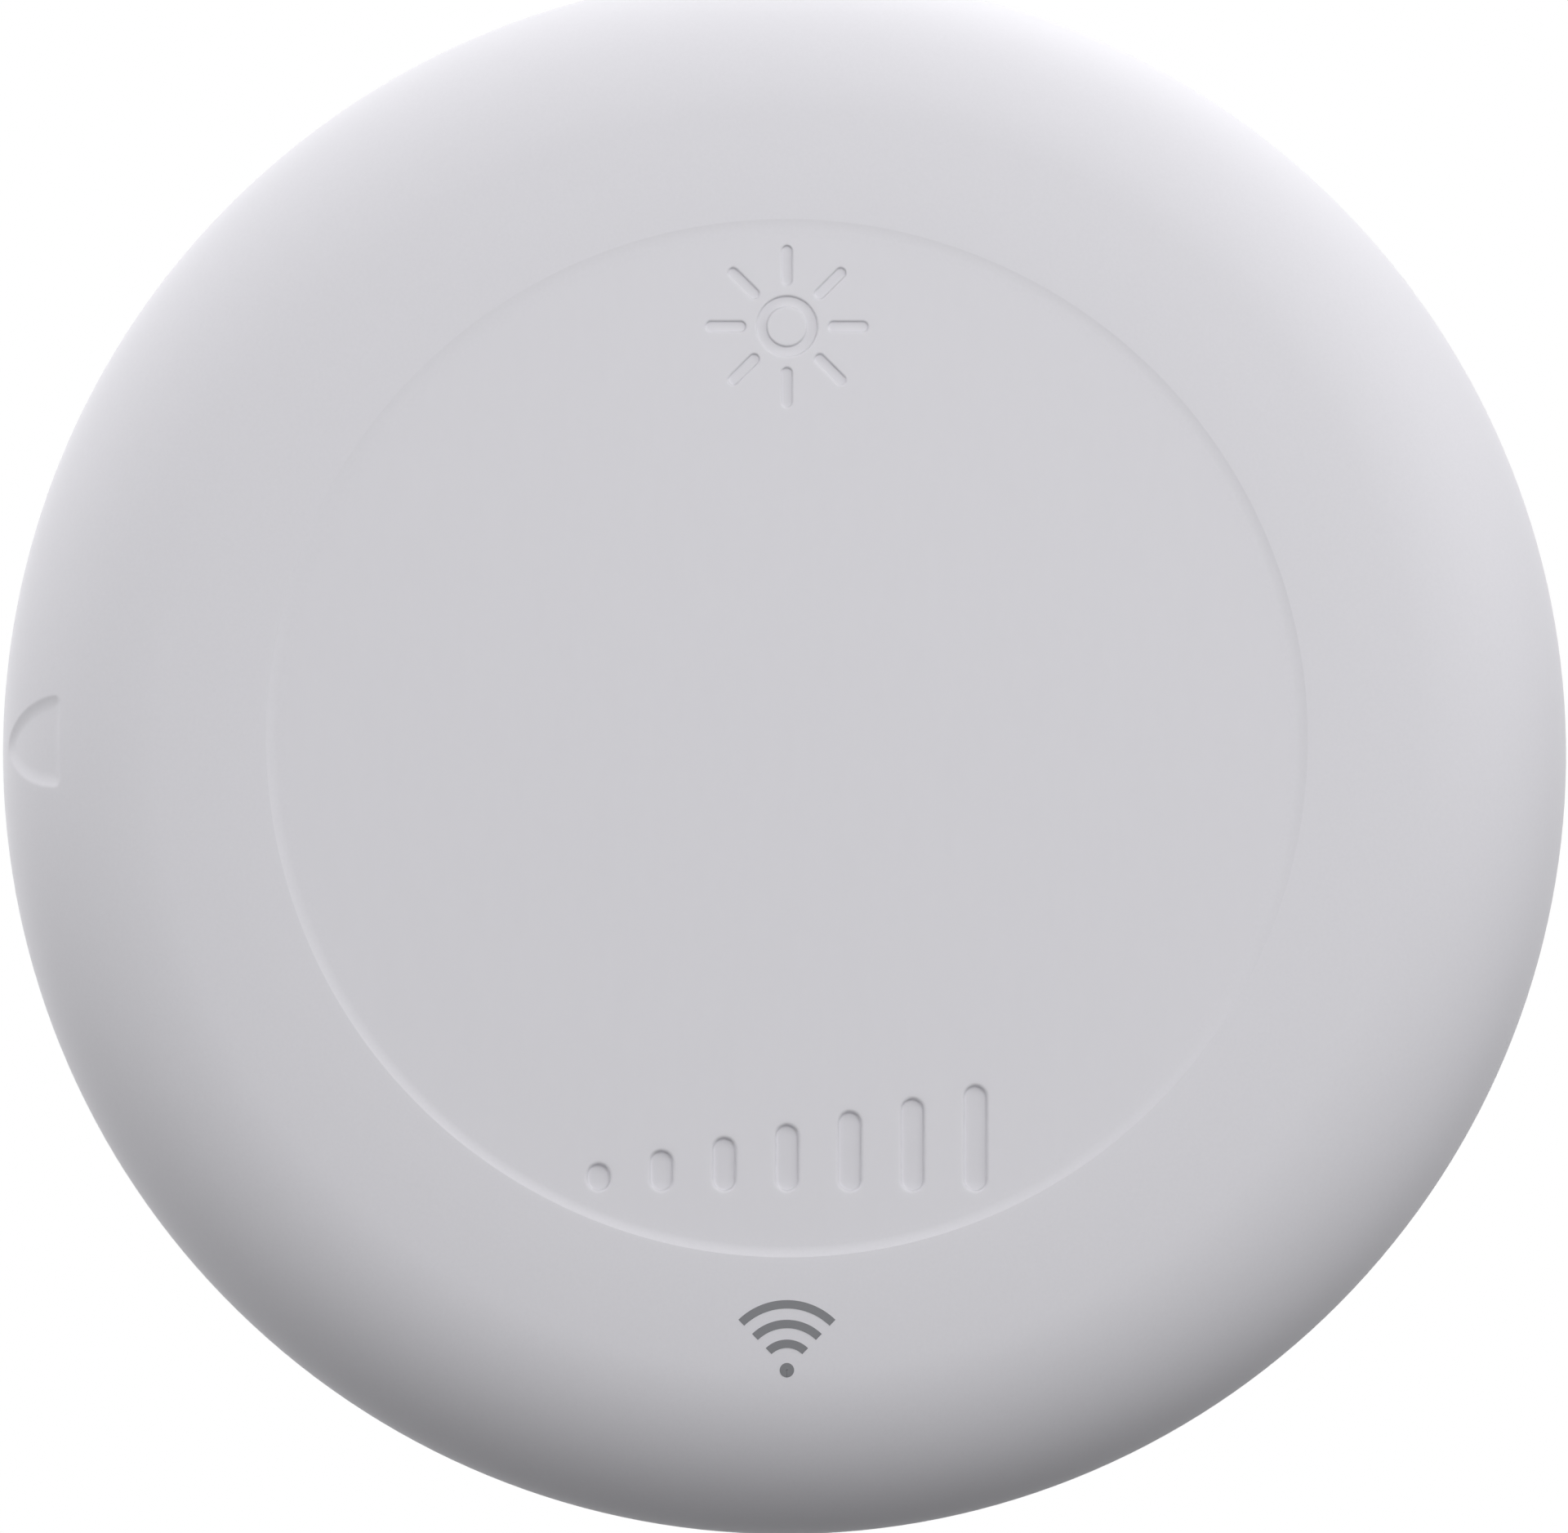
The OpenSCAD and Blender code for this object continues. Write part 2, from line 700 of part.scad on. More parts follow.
// Foot that is screwed to the wall, with the bayonet hub
module wall_foot() {
    color("darkgray") facing() {
        difference() {
            union() {
                difference() {
                    rod(foot_r, 0, foot_h);
                    rod(foot_r - foot_wall, foot_floor, foot_h);
                }
                rod(hub_r, foot_floor - bite, z_hub - foot_floor + bite);
            }
            rod(hub_r - hub_wall, foot_floor, z_hub);
            for (side = [-1, 1]) translate([side * screw_spacing / 2, 0, 0]) screw_slot();
            translate([0, -foot_r, foot_floor])
                block([drain_w, 2 * (foot_wall + cut), drain_h], 0);
        }
        for (i = [0:lug_count - 1]) {
            a = first_lug_a + 360 * i / lug_count;
            sector(hub_r - bite, hub_r + lug_reach, z_lug, lug_h, a - lug_span / 2, a + lug_span / 2);
        }
    }
}

// Slot for one wall screw, with round ends
module screw_slot() {
    straight = screw_slot_l - screw_slot_w;
    for (side = [-1, 1]) translate([side * straight / 2, 0, 0])
        rod(screw_slot_w / 2, -cut, foot_floor + 2 * cut);
    block([straight, screw_slot_w, foot_floor + 2 * cut], -cut);
}

// Battery bay pieces

// Door that slides down out of the back
module battery_door() {
    z_tongue = z_back + (floor_t - tongue_t) / 2;
    color("silver") facing() {
        intersection() {
            rotate_extrude() polygon(flange_points(z_back + door_t));
            union() {
                translate([-door_half, -housing_r, z_back])
                    cube([2 * door_half, housing_r + door_top, door_t]);
                translate([-door_half - tongue_w, -housing_r, z_tongue])
                    cube([2 * (door_half + tongue_w), housing_r + door_top, tongue_t]);
            }
        }
        for (i = [0:grip_count - 1]) translate([-grip_l / 2,
            grip_inset + i * grip_pitch - flange_r, z_back - grip_h])
            cube([grip_l, grip_w, grip_h + bite]);
    }
}

// Two cells, laid the opposite way to each other
module batteries() {
    color("steelblue") facing() for (i = [0, 1]) translate([0, cell_y[i], z_cell])
        rotate([0, i == 0 ? 90 : -90, 0]) translate([0, 0, bay_half - contact_t - cell_l])
            rotate_extrude() polygon([[0, 0], [cell_r - cell_round, 0], [cell_r, cell_round],
                [cell_r, cell_l - nipple_l - cell_round], [cell_r - cell_round, cell_l - nipple_l],
                [nipple_r, cell_l - nipple_l], [nipple_r, cell_l], [0, cell_l]]);
}

// Outline of a contact plate that follows the bay round one or both cells
function contact_points(ys) = concat(
    [[ys[len(ys) - 1] - contact_r, z_cell - contact_drop], [ys[0] + contact_r, z_cell - contact_drop]],
    [for (y = ys) each arc(y, z_cell, contact_r, 0, 180, arch_steps)]);

// Contact plate with its left face at x
module contact_plate(ys, x) {
    rotate([90, 0, 90]) translate([0, 0, x]) linear_extrude(contact_t) polygon(contact_points(ys));
}

// Plate at the left end that joins the two cells
module contact_link() {
    color("gold") facing() contact_plate(cell_y, -bay_half);
}

// Plate at the right end with a tail through the wall
module end_contact(y) {
    facing() {
        contact_plate([y], bay_half - contact_t);
        translate([bay_half - contact_t, y - tail_w / 2, z_cell - contact_t / 2])
            cube([tail_l, tail_w, contact_t]);
    }
}

// Plate that meets the upper cell's nipple
module contact_positive() {
    color("gold") end_contact(cell_y[0]);
}

// Plate behind the lower cell's spring
module contact_negative() {
    color("gold") end_contact(cell_y[1]);
}

// Centre line of a conical battery spring along x
function spring_path() = let (rings = spring_rings * spring_turns,
    l = spring_l - 2 * (spring_wire_r + spring_seat))
    [for (i = [0:rings]) let (a = 360 * spring_turns * i / rings,
        r = spring_base_r + (spring_tip_r - spring_base_r) * i / rings)
        [spring_wire_r + spring_seat + l * i / rings, r * cos(a), r * sin(a)]];

// Two conical springs, one behind each cell
module battery_springs() {
    echo("least gap in a battery spring", winding_gap(spring_path(), spring_wire_r, spring_rings));
    color("gainsboro") facing() for (i = [0, 1]) translate([0, cell_y[i], z_cell])
        rotate([0, 0, i == 0 ? 0 : 180]) translate([contact_t - bay_half, 0, 0])
            wire(spring_path(), spring_wire_r, wire_sides, [1, 0, 0]);
}

// Red lead from the upper contact to the board
module positive_lead() {
    color("red") facing() wire(smooth(positive_route, lead_steps), lead_r, lead_sides, [0, 0, 1]);
}

// Black lead from the lower contact to the board
module negative_lead() {
    color("black") facing() wire(smooth(negative_route, lead_steps), lead_r, lead_sides, [0, 0, 1]);
}

// Electronics

// Board with its lower side cut off above the battery bay
module circuit_board() {
    color("seagreen") facing() difference() {
        rod(board_r, z_board, board_t);
        translate([-board_r, -board_r - cut, z_board - cut])
            cube([2 * board_r, board_r + cut + board_bottom, board_t + 2 * cut]);
        at_board_posts() rod(board_hole_r, z_board - cut, board_t + 2 * cut);
    }
}

// Three screws that hold the board on its posts
module board_screws() {
    color("lightsteelblue") facing() at_board_posts() difference() {
        union() {
            rod(board_head_r, z_board_top, board_head_h);
            rod(board_screw_r, z_board_top + bite - board_screw_l, board_screw_l);
        }
        for (a = [0, 90]) rotate([0, 0, a])
            block([2 * drive_r, stroke_w, drive_depth + cut], z_board_top + board_head_h - drive_depth);
    }
}

// Photodiode that reads the light, straight behind the sun mark
module light_sensor() {
    color("ivory") facing() translate([0, sun_y, 0]) {
        block([sensor_w, sensor_l, sensor_h - sensor_lens_h], z_board_top);
        rod(sensor_lens_r, z_board_top, sensor_h);
    }
}

// Clear rod that leads light from the thin window to the sensor
module light_guide() {
    color("aliceblue") facing() translate([0, sun_y, 0]) {
        rod(guide_r, z_board_top + sensor_h + seam_gap,
            z_ceiling + guide_reach - z_board_top - sensor_h - seam_gap);
        rod(guide_collar_r, z_holder, guide_collar_h);
    }
}

// Tube that stands on the board and holds the light guide
module guide_holder() {
    color("dimgray") facing() translate([0, sun_y, 0]) difference() {
        union() {
            rod(holder_r, z_board_top, z_holder - z_board_top);
            rod(holder_foot_r, z_board_top, holder_foot_h);
        }
        rod(guide_r + guide_gap, z_board_top - cut, z_holder - z_board_top + 2 * cut);
    }
}

// Processor with a row of pins on each side
module processor_chip() {
    color("black") facing() translate(on_board(processor_place_shares)) {
        block([processor_w, processor_w, chip_h - chip_lift], z_board_top + chip_lift);
        for (turn = [0:90:270], i = [0:pin_count - 1]) rotate([0, 0, turn])
            translate([processor_w / 2 - bite, (i - (pin_count - 1) / 2) * pin_pitch - pin_w / 2,
                z_board_top]) cube([pin_l + bite, pin_w, pin_t]);
    }
}

// Small board of the radio, soldered flat on the main board
module radio_board() {
    color("darkgreen") facing() translate(on_board(radio_place_shares))
        block([radio_w, radio_l, radio_t], z_board_top);
}

// Tinned can over the radio
module radio_shield() {
    color("silver") facing() translate(on_board(radio_place_shares))
        translate([0, 0, z_board_top + radio_t]) linear_extrude(shield_h) polygon(concat(
            corner(1, 1, 0), corner(-1, 1, 90), corner(-1, -1, 180), corner(1, -1, 270)));
}

// Points of one rounded corner of the shield
function corner(sx, sy, a) = arc(sx * (radio_w / 2 - shield_inset - shield_r),
    sy * (radio_l / 2 - shield_inset - shield_r), shield_r, a, a + 90, 4);

// Centre line of the antenna: a stem that widens into a standing coil
function antenna_path() = concat([[0, 0, 0], [0, 0, antenna_stem]],
    [for (i = [1:antenna_rings * antenna_turns]) let (turns = i / antenna_rings,
        r = antenna_r * min(1, turns))
        [r * cos(360 * turns), r * sin(360 * turns), antenna_stem + antenna_pitch * turns]]);

// Wound radio antenna that stands on the board
module antenna_coil() {
    echo("least gap in the antenna", winding_gap(antenna_path(), antenna_wire_r, antenna_rings));
    color("goldenrod") facing() translate(on_board(antenna_place_shares))
        translate([0, 0, z_board_top])
            wire(antenna_path(), antenna_wire_r, wire_sides, [1, 0, 0]);
}

// Quartz crystal in its drawn can
module crystal() {
    color("silver") facing() translate(on_board(crystal_place_shares) + [0, 0, z_board_top]) {
        linear_extrude(crystal_lip_h)
            polygon(bar_points(crystal_l + 2 * crystal_lip, crystal_w + 2 * crystal_lip));
        linear_extrude(crystal_h) polygon(bar_points(crystal_l, crystal_w));
    }
}

// Electrolytic capacitor with its rolled-in groove
module capacitor() {
    z_top = z_board_top + capacitor_h;
    color("midnightblue") facing() translate(on_board(capacitor_place_shares)) rotate_extrude()
        polygon([[0, z_board_top], [capacitor_r, z_board_top],
            [capacitor_r, z_board_top + capacitor_groove_h],
            [capacitor_r - capacitor_groove, z_board_top + 2 * capacitor_groove_h],
            [capacitor_r, z_board_top + 3 * capacitor_groove_h],
            [capacitor_r, z_top - capacitor_groove], [capacitor_r - capacitor_groove, z_top],
            [0, z_top]]);
}

// Small surface-mounted parts round the chips
module chip_components() {
    color("tan") facing() for (p = passive_place_shares) translate(on_board(p))
        rotate([0, 0, 90 * p[2]]) block([passive_w, passive_l, passive_h], z_board_top);
}

// Potentiometer behind the threshold dial
module potentiometer() {
    color("royalblue") facing() translate(polar(control_r, dial_a)) difference() {
        block([pot_w, pot_w, z_board - z_pot], z_pot);
        rod(shaft_r + run_gap, z_pot - cut, z_board - z_pot - pot_roof + cut);
    }
}

// Controls on the back

// Dial that sets the light threshold
module threshold_dial() {
    color("white") facing() translate(polar(control_r, dial_a)) {
        difference() {
            rod(dial_r, z_dial, dial_t);
            block([2 * (dial_r - dial_slot_margin), dial_slot_w, dial_slot_depth + cut], z_dial - cut);
            translate([0, dial_r - dial_slot_margin, 0])
                rod(dial_pointer_r, z_dial - cut, cut + dial_slot_depth / 2);
        }
        rod(shaft_r, z_dial_top - bite, z_board - shaft_end - z_dial_top + bite);
    }
}

// Copies at the two status lights
module at_leds() {
    for (side = [-1, 1]) translate(polar(led_place, first_lug_a + side * led_a)) children();
}

// Two status lights under the board
module status_leds() {
    color("lightgreen") facing() at_leds() block([led_l, led_w, led_h], z_board - led_h);
}

// Two clear rods that lead the status lights to the back
module led_windows() {
    color("aliceblue") facing() at_leds() {
        rod(window_r, z_back, z_board - led_h - seam_gap - z_back);
        rod(window_collar_r, z_floor, window_collar_h);
    }
}

// Two push switches under the board
module switch_bodies() {
    color("dimgray") facing() for (a = [program_a, mode_a]) translate(polar(control_r, a))
        difference() {
            block([switch_w, switch_w, switch_body_h], z_switch);
            rod(stem_r + stem_gap, z_switch - cut, cut + stem_reach + button_travel + stem_spare);
        }
}

// A button with the flange that keeps it in the shell
module button(a) {
    facing() translate(polar(control_r, a)) {
        rod(button_r, z_button, z_button_flange - z_button + bite);
        rod(button_flange_r, z_button_flange, button_flange_h);
        rod(button_tip_r, z_button_top - bite, button_tip_h + bite);
    }
}

// Stem of the switch that a button presses
module stem(a) {
    facing() translate(polar(control_r, a)) rod(stem_r, z_stem, z_switch + stem_reach - z_stem);
}

// Button that pairs the sensor
module program_button() {
    color("white") button(program_a);
}

// Stem under the pairing button
module program_stem() {
    color("black") stem(program_a);
}

// Button that starts the test mode
module mode_button() {
    color("white") button(mode_a);
}

// Stem under the test button
module mode_stem() {
    color("black") stem(mode_a);
}

// Place of the vent in the face frame
function vent_place() = [vent_place_shares[0] * flange_r, vent_place_shares[1] * flange_r, 0];

// Breathing plug that lets pressure out and keeps rain away
module vent_plug() {
    color("dimgray") facing() translate(vent_place()) {
        rod(vent_cap_r, z_back - vent_cap_h, vent_cap_h);
        rod(vent_stem_r, z_back - vent_cap_h / 2, floor_t + vent_cap_h);
        rod(vent_lip_r, z_floor, vent_lip_h);
    }
}

// Bare rating label on the back
module rating_label() {
    color("lightgray") facing() translate([-label_place_share * flange_r, 0, 0])
        block([label_w, label_l, label_t], z_back - label_t);
}

wall_foot();
rear_shell();
seal_ring();
front_cover();
cover_screws();
battery_door();
batteries();
contact_link();
contact_positive();
contact_negative();
battery_springs();
positive_lead();
negative_lead();
circuit_board();
board_screws();
light_sensor();
light_guide();
guide_holder();
processor_chip();
radio_board();
radio_shield();
antenna_coil();
crystal();
capacitor();
chip_components();
potentiometer();
threshold_dial();
status_leds();
led_windows();
switch_bodies();
program_button();
program_stem();
mode_button();
mode_stem();
vent_plug();
rating_label();
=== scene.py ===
"""Round white sun sensor for a wall, dressed over its solids.

The front cover is drawn anew as one closed skin with a soft step round its face, sunk marks and a
soft recess in its rim. The leads, the springs, the antenna, the cells and the chip parts are drawn
anew too, and printed marks and the board's tracks, pads and legend are added. Every other piece is
a copy of its solid with rounded edges. Shapes are worked out in a face frame in millimetres: x to
the right, y up and z out of the wall.
"""

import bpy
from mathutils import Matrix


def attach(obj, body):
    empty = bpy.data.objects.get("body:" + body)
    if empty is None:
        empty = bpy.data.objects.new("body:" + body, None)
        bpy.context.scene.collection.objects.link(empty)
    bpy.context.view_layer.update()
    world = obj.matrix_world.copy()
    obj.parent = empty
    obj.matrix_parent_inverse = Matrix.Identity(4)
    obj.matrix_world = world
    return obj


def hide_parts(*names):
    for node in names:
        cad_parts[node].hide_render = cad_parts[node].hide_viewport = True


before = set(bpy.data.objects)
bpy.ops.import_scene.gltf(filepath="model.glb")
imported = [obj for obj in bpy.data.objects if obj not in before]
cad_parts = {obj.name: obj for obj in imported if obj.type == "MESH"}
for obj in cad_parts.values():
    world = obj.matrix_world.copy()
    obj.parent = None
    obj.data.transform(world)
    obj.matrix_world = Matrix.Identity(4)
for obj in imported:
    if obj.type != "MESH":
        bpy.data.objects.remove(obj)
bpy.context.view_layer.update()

import math
from types import SimpleNamespace

import bmesh
import bpy
import numpy as np
from bpy.props import FloatProperty, FloatVectorProperty, PointerProperty
from mathutils import Vector
from mathutils.geometry import delaunay_2d_cdt

bl_info = {
    "name": "Sun Sensor",
    "version": (1, 0, 0),
    "blender": (4, 2, 0),
    "location": "3D View > Sidebar > Sun Sensor",
    "description": "Dresses the solids of a round wall-mounted sun sensor",
    "category": "Object",
}

MM = 0.001
WELD = 1e-6


# Values that a user changes


def length(label, text, mm):
    """A size in millimetres, kept in Blender's metres."""
    return FloatProperty(
        name=label, description=text, default=mm * MM, min=0.0, unit="LENGTH", precision=5
    )


def linear(code):
    """Turns an sRGB hex colour into linear light, with full cover as its fourth value."""
    shares = [int(code[i : i + 2], 16) / 255 for i in (1, 3, 5)]
    light = [s / 12.92 if s <= 0.04045 else ((s + 0.055) / 1.055) ** 2.4 for s in shares]
    return (*light, 1.0)


def colour(label, text, code):
    """A colour of a finish, given as sRGB hex."""
    return FloatVectorProperty(
        name=label, description=text, subtype="COLOR", size=4, min=0.0, max=1.0,
        default=linear(code),
    )


def in_mm(group):
    """The values of a group, with its lengths in millimetres."""
    kinds = group.bl_rna.properties
    units = {name: MM if kinds[name].unit == "LENGTH" else 1.0 for name in group.__annotations__}
    return SimpleNamespace(**{name: getattr(group, name) / unit for name, unit in units.items()})


class CoverSizes(bpy.types.PropertyGroup):
    """Sizes of the front cover's skin."""

    depth: length("Depth", "From the wall to the crest of the ring", 38)
    face_z: length("Face height", "Height of the sunk face above the wall, on the axis", 37.83)
    face_lean: length("Face lean", "Extra height of the face at its upper edge", 0.1)
    ceiling: length("Ceiling", "Height of the inside behind the face", 35.45)
    face_edge: length("Face edge", "Radius at which the face starts to rise to the ring", 38.85)
    step_hollow: length("Step hollow", "Radius of the hollow at the foot of the step", 2.35)
    step_round: length("Step round", "Radius of the round at the top of the step", 0.12)
    crown_start: length("Crown start", "Radius at which the ring's flat crest ends", 40.3403)
    crown: length("Crown", "Radius of the ring's shallow crown", 75)
    roll: length("Roll", "Radius of the roll at the outer edge", 13.2)
    roll_centre: length("Roll centre", "Distance of the roll's centre from the axis", 46.8)
    equator: length("Equator", "Height at which the housing is widest", 24.4614)
    side: length("Side", "Radius of the long curve of the side", 60)
    wall: length("Wall", "Wall thickness behind the ring and the face", 2.2)
    rear: length("Rear edge", "Height of the cover's rear edge", 11.2)
    rear_round: length("Rear round", "Round of the rear edge", 0.4)
    bore: length("Bore", "Radius of the bore over the shell's spigot", 56.017)
    bore_top: length("Bore top", "Height at which the bore ends", 18)
    hollow_foot: length("Hollow foot", "Height at which the hollow's side begins", 20.2)
    pocket: length("Window pocket", "Radius of the thin window behind the sun mark", 3.6)
    pocket_depth: length("Pocket depth", "Depth of the thin window's pocket", 1.0)
    boss: length("Boss", "Outer radius of a screw boss", 3.2)
    boss_place: length("Boss place", "Distance of the screw bosses from the axis", 48.717)
    boss_foot: length("Boss foot", "Height at which the bosses begin", 13.2)
    boss_drop: length("Boss drop", "How far the bosses end under the ceiling", 1.2)
    boss_round: length("Boss round", "Rounds at the foot of a boss", 0.3)
    pilot: length("Pilot", "Radius of the hole in a boss", 1.35)
    pilot_top: length("Pilot top", "Height at which the holes in the bosses end", 25.9)
    rib: length("Rib", "Thickness of the rib behind a boss", 1.6)
    rib_start: length("Rib start", "Distance of a rib's inner end from its boss's axis", 2.0)
    rib_end: length("Rib end", "Distance of a rib's outer end from the cover's axis", 57.0)
    rib_foot: length("Rib foot", "Height at which the ribs begin", 18.6)
    rib_top: length("Rib top", "Height at which the ribs end", 29.0)
    collar_in: length("Collar bore", "Inner radius of the collar round the light guide", 4.8)
    collar_out: length("Collar", "Outer radius of the collar round the light guide", 6.0)
    collar_foot: length("Collar foot", "Height at which the collar begins", 32.45)
    collar_seat: length("Collar seat", "How far the collar reaches into the ceiling", 0.3)


class MarkSizes(bpy.types.PropertyGroup):
    """Sizes of the marks on the front."""

    depth: length("Depth", "Depth of the sun mark", 0.26)
    top_round: length("Top round", "Round at the upper edge of the sun mark", 0.15)
    floor_round: length("Floor round", "Round at the floor of the sun mark", 0.1)
    sun_y: length("Sun mark height", "Height of the sun mark above the axis", 31.5)
    sun_over: length("Sun mark", "Size over the rays of the sun mark", 12.4)
    ray: length("Ray", "Length of one ray", 3.05)
    stroke: length("Stroke", "Width of a stroke in the sun mark", 0.8)
    sun_ring: length("Sun ring", "Outer radius of the sun mark's ring groove", 2.33)
    scale_drop: length("Scale drop", "Depth of the level scale below the axis", 30.6)
    scale_w: length("Scale width", "Width of the level scale", 30.4)
    scale_h: length("Scale height", "Height of the tallest bar", 8)
    bar_share: FloatProperty(
        name="Bar depth", description="Depth and rounds of the bars as a share of the sun mark's",
        default=1.7, min=0.5,
    )
    bar_w: length("Bar", "Width of one bar", 1.7)
    dent_edge: length("Recess edge", "Distance of the recess's straight side from the axis", 55.5)
    dent_l: length("Recess length", "Length of the recess seen from the front", 4)
    dent_half: length("Recess half width", "Half the width of the recess", 3.55)
    dent_depth: length("Recess depth", "Depth of the recess in the rim", 0.26)
    dent_slope: length("Recess slope", "Width of the hollow wall along the outline", 1.1)
    dent_corner: length("Recess corner", "Round of the recess's two corners", 0.8)
    waves_drop: length("Waves drop", "Depth of the waves' dot below the axis", 48.3)
    waves_dot: length("Waves dot", "Radius of the dot under the waves", 0.55)
    waves_first: length("First wave", "Radius of the first wave", 2.0)
    waves_pitch: length("Waves pitch", "Distance from wave to wave", 1.5)
    waves_stroke: length("Wave stroke", "Width of a wave's line", 0.64)
    film: length("Ink film", "Thickness of the printed ink", 0.02)


class WireSizes(bpy.types.PropertyGroup):
    """Sizes of the wires inside the head."""

    lead: length("Lead", "Radius of a lead over its insulation", 0.6)
    spring_wire: length("Spring wire", "Radius of the battery springs' wire", 0.3)
    spring_base: length("Spring base", "Radius of a battery spring at its base", 3.6)
    spring_tip: length("Spring tip", "Radius of a battery spring at its tip", 1.7)
    spring: length("Spring", "Length of a battery spring", 5.5)
    spring_gap: length("Spring gap", "Room at each end of a battery spring", 0.05)
    antenna_wire: length("Antenna wire", "Radius of the antenna's wire", 0.4)
    antenna: length("Antenna", "Radius of the antenna's windings", 2.2)
    antenna_stem: length("Antenna stem", "Height of the stem under the windings", 1.0)
    antenna_pitch: length("Antenna pitch", "Rise of the antenna in one turn", 1.9214)


class BackSizes(bpy.types.PropertyGroup):
    """Sizes of the marks on the back."""

    proud: length("Proud", "How far a printed mark stands out", 0.03)
    seat: length("Seat", "How far a printed mark reaches into the back", 0.05)
    crescent: length("Crescent", "Inner radius of the dial's crescent", 7.1)
    crescent_thin: length("Crescent start", "Width of the crescent at its thin end", 0.12)
    crescent_grow: length("Crescent growth", "How much wider its other end is", 0.6)
    tick_from: length("Tick start", "Distance of a tick's inner end from the dial's axis", 8.1)
    tick_to: length("Tick end", "Distance of a tick's outer end from the dial's axis", 9.0)
    tick: length("Tick", "Width of a tick", 0.35)
    numeral_place: length("Numeral place", "Distance of the numerals from the dial's axis", 10.3)
    numeral: length("Numeral", "Height of the numerals' body", 1.7)
    ring: length("Button ring", "Outer radius of the line round a button", 4.35)
    ring_line: length("Ring line", "Width of the line round a button", 0.3)
    dot: length("Dot", "Radius of the dots beside a button", 0.4)
    dot_out: length("Dot place", "Sideways distance of the first dot from the button", 5.6)
    dot_up: length("Dot height", "Height of the dots above the button's axis", 1.2)
    dot_pitch: length("Dot pitch", "Distance from dot to dot", 1.3)
    turn: length("Turn arrow", "Distance of the turn arrow from the axis", 33.2)
    turn_line: length("Turn line", "Width of the turn arrow's line", 0.45)
    turn_wing: length("Turn wing", "Half the width of the turn arrow's head", 1.3)
    door_wing: length("Door wing", "Half the width of the door arrow's head", 2.6)
    door_wing_y: length("Door head", "Depth of the door arrow's head below the axis", 39.0)
    door_tip_y: length("Door tip", "Depth of the door arrow's tip below the axis", 42.6)
    door_stem: length("Door stem", "Width of the door arrow's stem", 1.5)
    door_stem_l: length("Door stem length", "Length of the door arrow's stem", 3.4)
    door_stem_y: length("Door stem place", "Depth of the stem's middle below the axis", 37.4)
    label_w: length("Label boxes", "Width of the boxes on the label", 15.4)
    label_line: length("Label line", "Width of the boxes' lines", 0.2)


class BoardSizes(bpy.types.PropertyGroup):
    """Sizes of the details on the circuit board."""

    seat: length("Seat", "How far each layer reaches into the board", 0.02)
    track: length("Track", "Width of a track", 0.3)
    track_film: length("Track height", "Height of a track above the board", 0.035)
    pad_film: length("Pad height", "Height of a chip part's pad above the board", 0.05)
    leg_film: length("Leg pad height", "Height of the pads under the chip's legs", 0.06)
    radio_film: length("Radio pad height", "Height of the radio's soldered edge pads", 0.25)
    print_film: length("Legend height", "Height of the printed legend above the board", 0.025)
    part_l: length("Chip part length", "Length of a chip part over its caps", 2.0)
    part_w: length("Chip part width", "Width of a chip part over its caps", 1.2)
    part_h: length("Chip part height", "Height of a chip part over its caps", 0.6)
    cap_stand: length("Cap", "How much wider and higher the caps are than the body", 0.06)
    leg_pitch: length("Leg pitch", "Distance from leg to leg of the chip", 0.8)
    legs_out: length("Legs", "Distance of the tracks' starts from the chip's middle", 4.6)
    cone: length("Solder cone", "Radius of the solder at a lead's end", 1.6)
    cone_h: length("Solder cone height", "Height of the solder at a lead's end", 0.9)


class FinishColours(bpy.types.PropertyGroup):
    """Colours of the finishes."""

    cover_white: colour("Cover white", "White of the front cover", "#D9D8DD")
    print_grey: colour("Print grey", "Ink of the printed waves", "#6F7074")
    shell_grey: colour("Shell grey", "Grey of the rear shell and the door", "#B4B5B8")
    foot_grey: colour("Foot grey", "Grey of the wall foot", "#8B8D90")
    control_white: colour("Control white", "White of the dial", "#DCDDDE")
    button_grey: colour("Button grey", "Grey of the two buttons", "#5A5C60")


class StageSettings(bpy.types.PropertyGroup):
    """Place of the camera and level of the lamps."""

    azimuth: FloatProperty(
        name="Azimuth", description="Camera's turn round the object",
        default=math.radians(-0.7), subtype="ANGLE",
    )
    elevation: FloatProperty(
        name="Elevation", description="Camera's height angle",
        default=math.radians(-4.8), subtype="ANGLE",
    )
    distance: length("Distance", "Distance of the camera from the housing's centre", 2000)
    lens: FloatProperty(
        name="Lens", description="Focal length in millimetres", default=598.1, min=50.0
    )
    aim_x: FloatProperty(
        name="Aim across", description="Sideways shift of the aim", default=-0.06 * MM,
        unit="LENGTH",
    )
    aim_y: FloatProperty(
        name="Aim up", description="Upward shift of the aim", default=-1.1 * MM, unit="LENGTH"
    )
    floor_drop: length("Floor", "Depth of the floor below the axis", 190)
    level: FloatProperty(name="Lamp level", description="Factor on all lamps", default=1.0, min=0.0)


# Places that the solids fix, in mm of the face frame


# Angles in degrees at which the crown meets the roll and the roll's rows change their spacing
ROLL_TOP, ROLL_SHOULDER, ROLL_FLANK = 84, 54, 10
# Flat strip of the face between its fill and the foot of the step
FACE_STRIP = 0.6
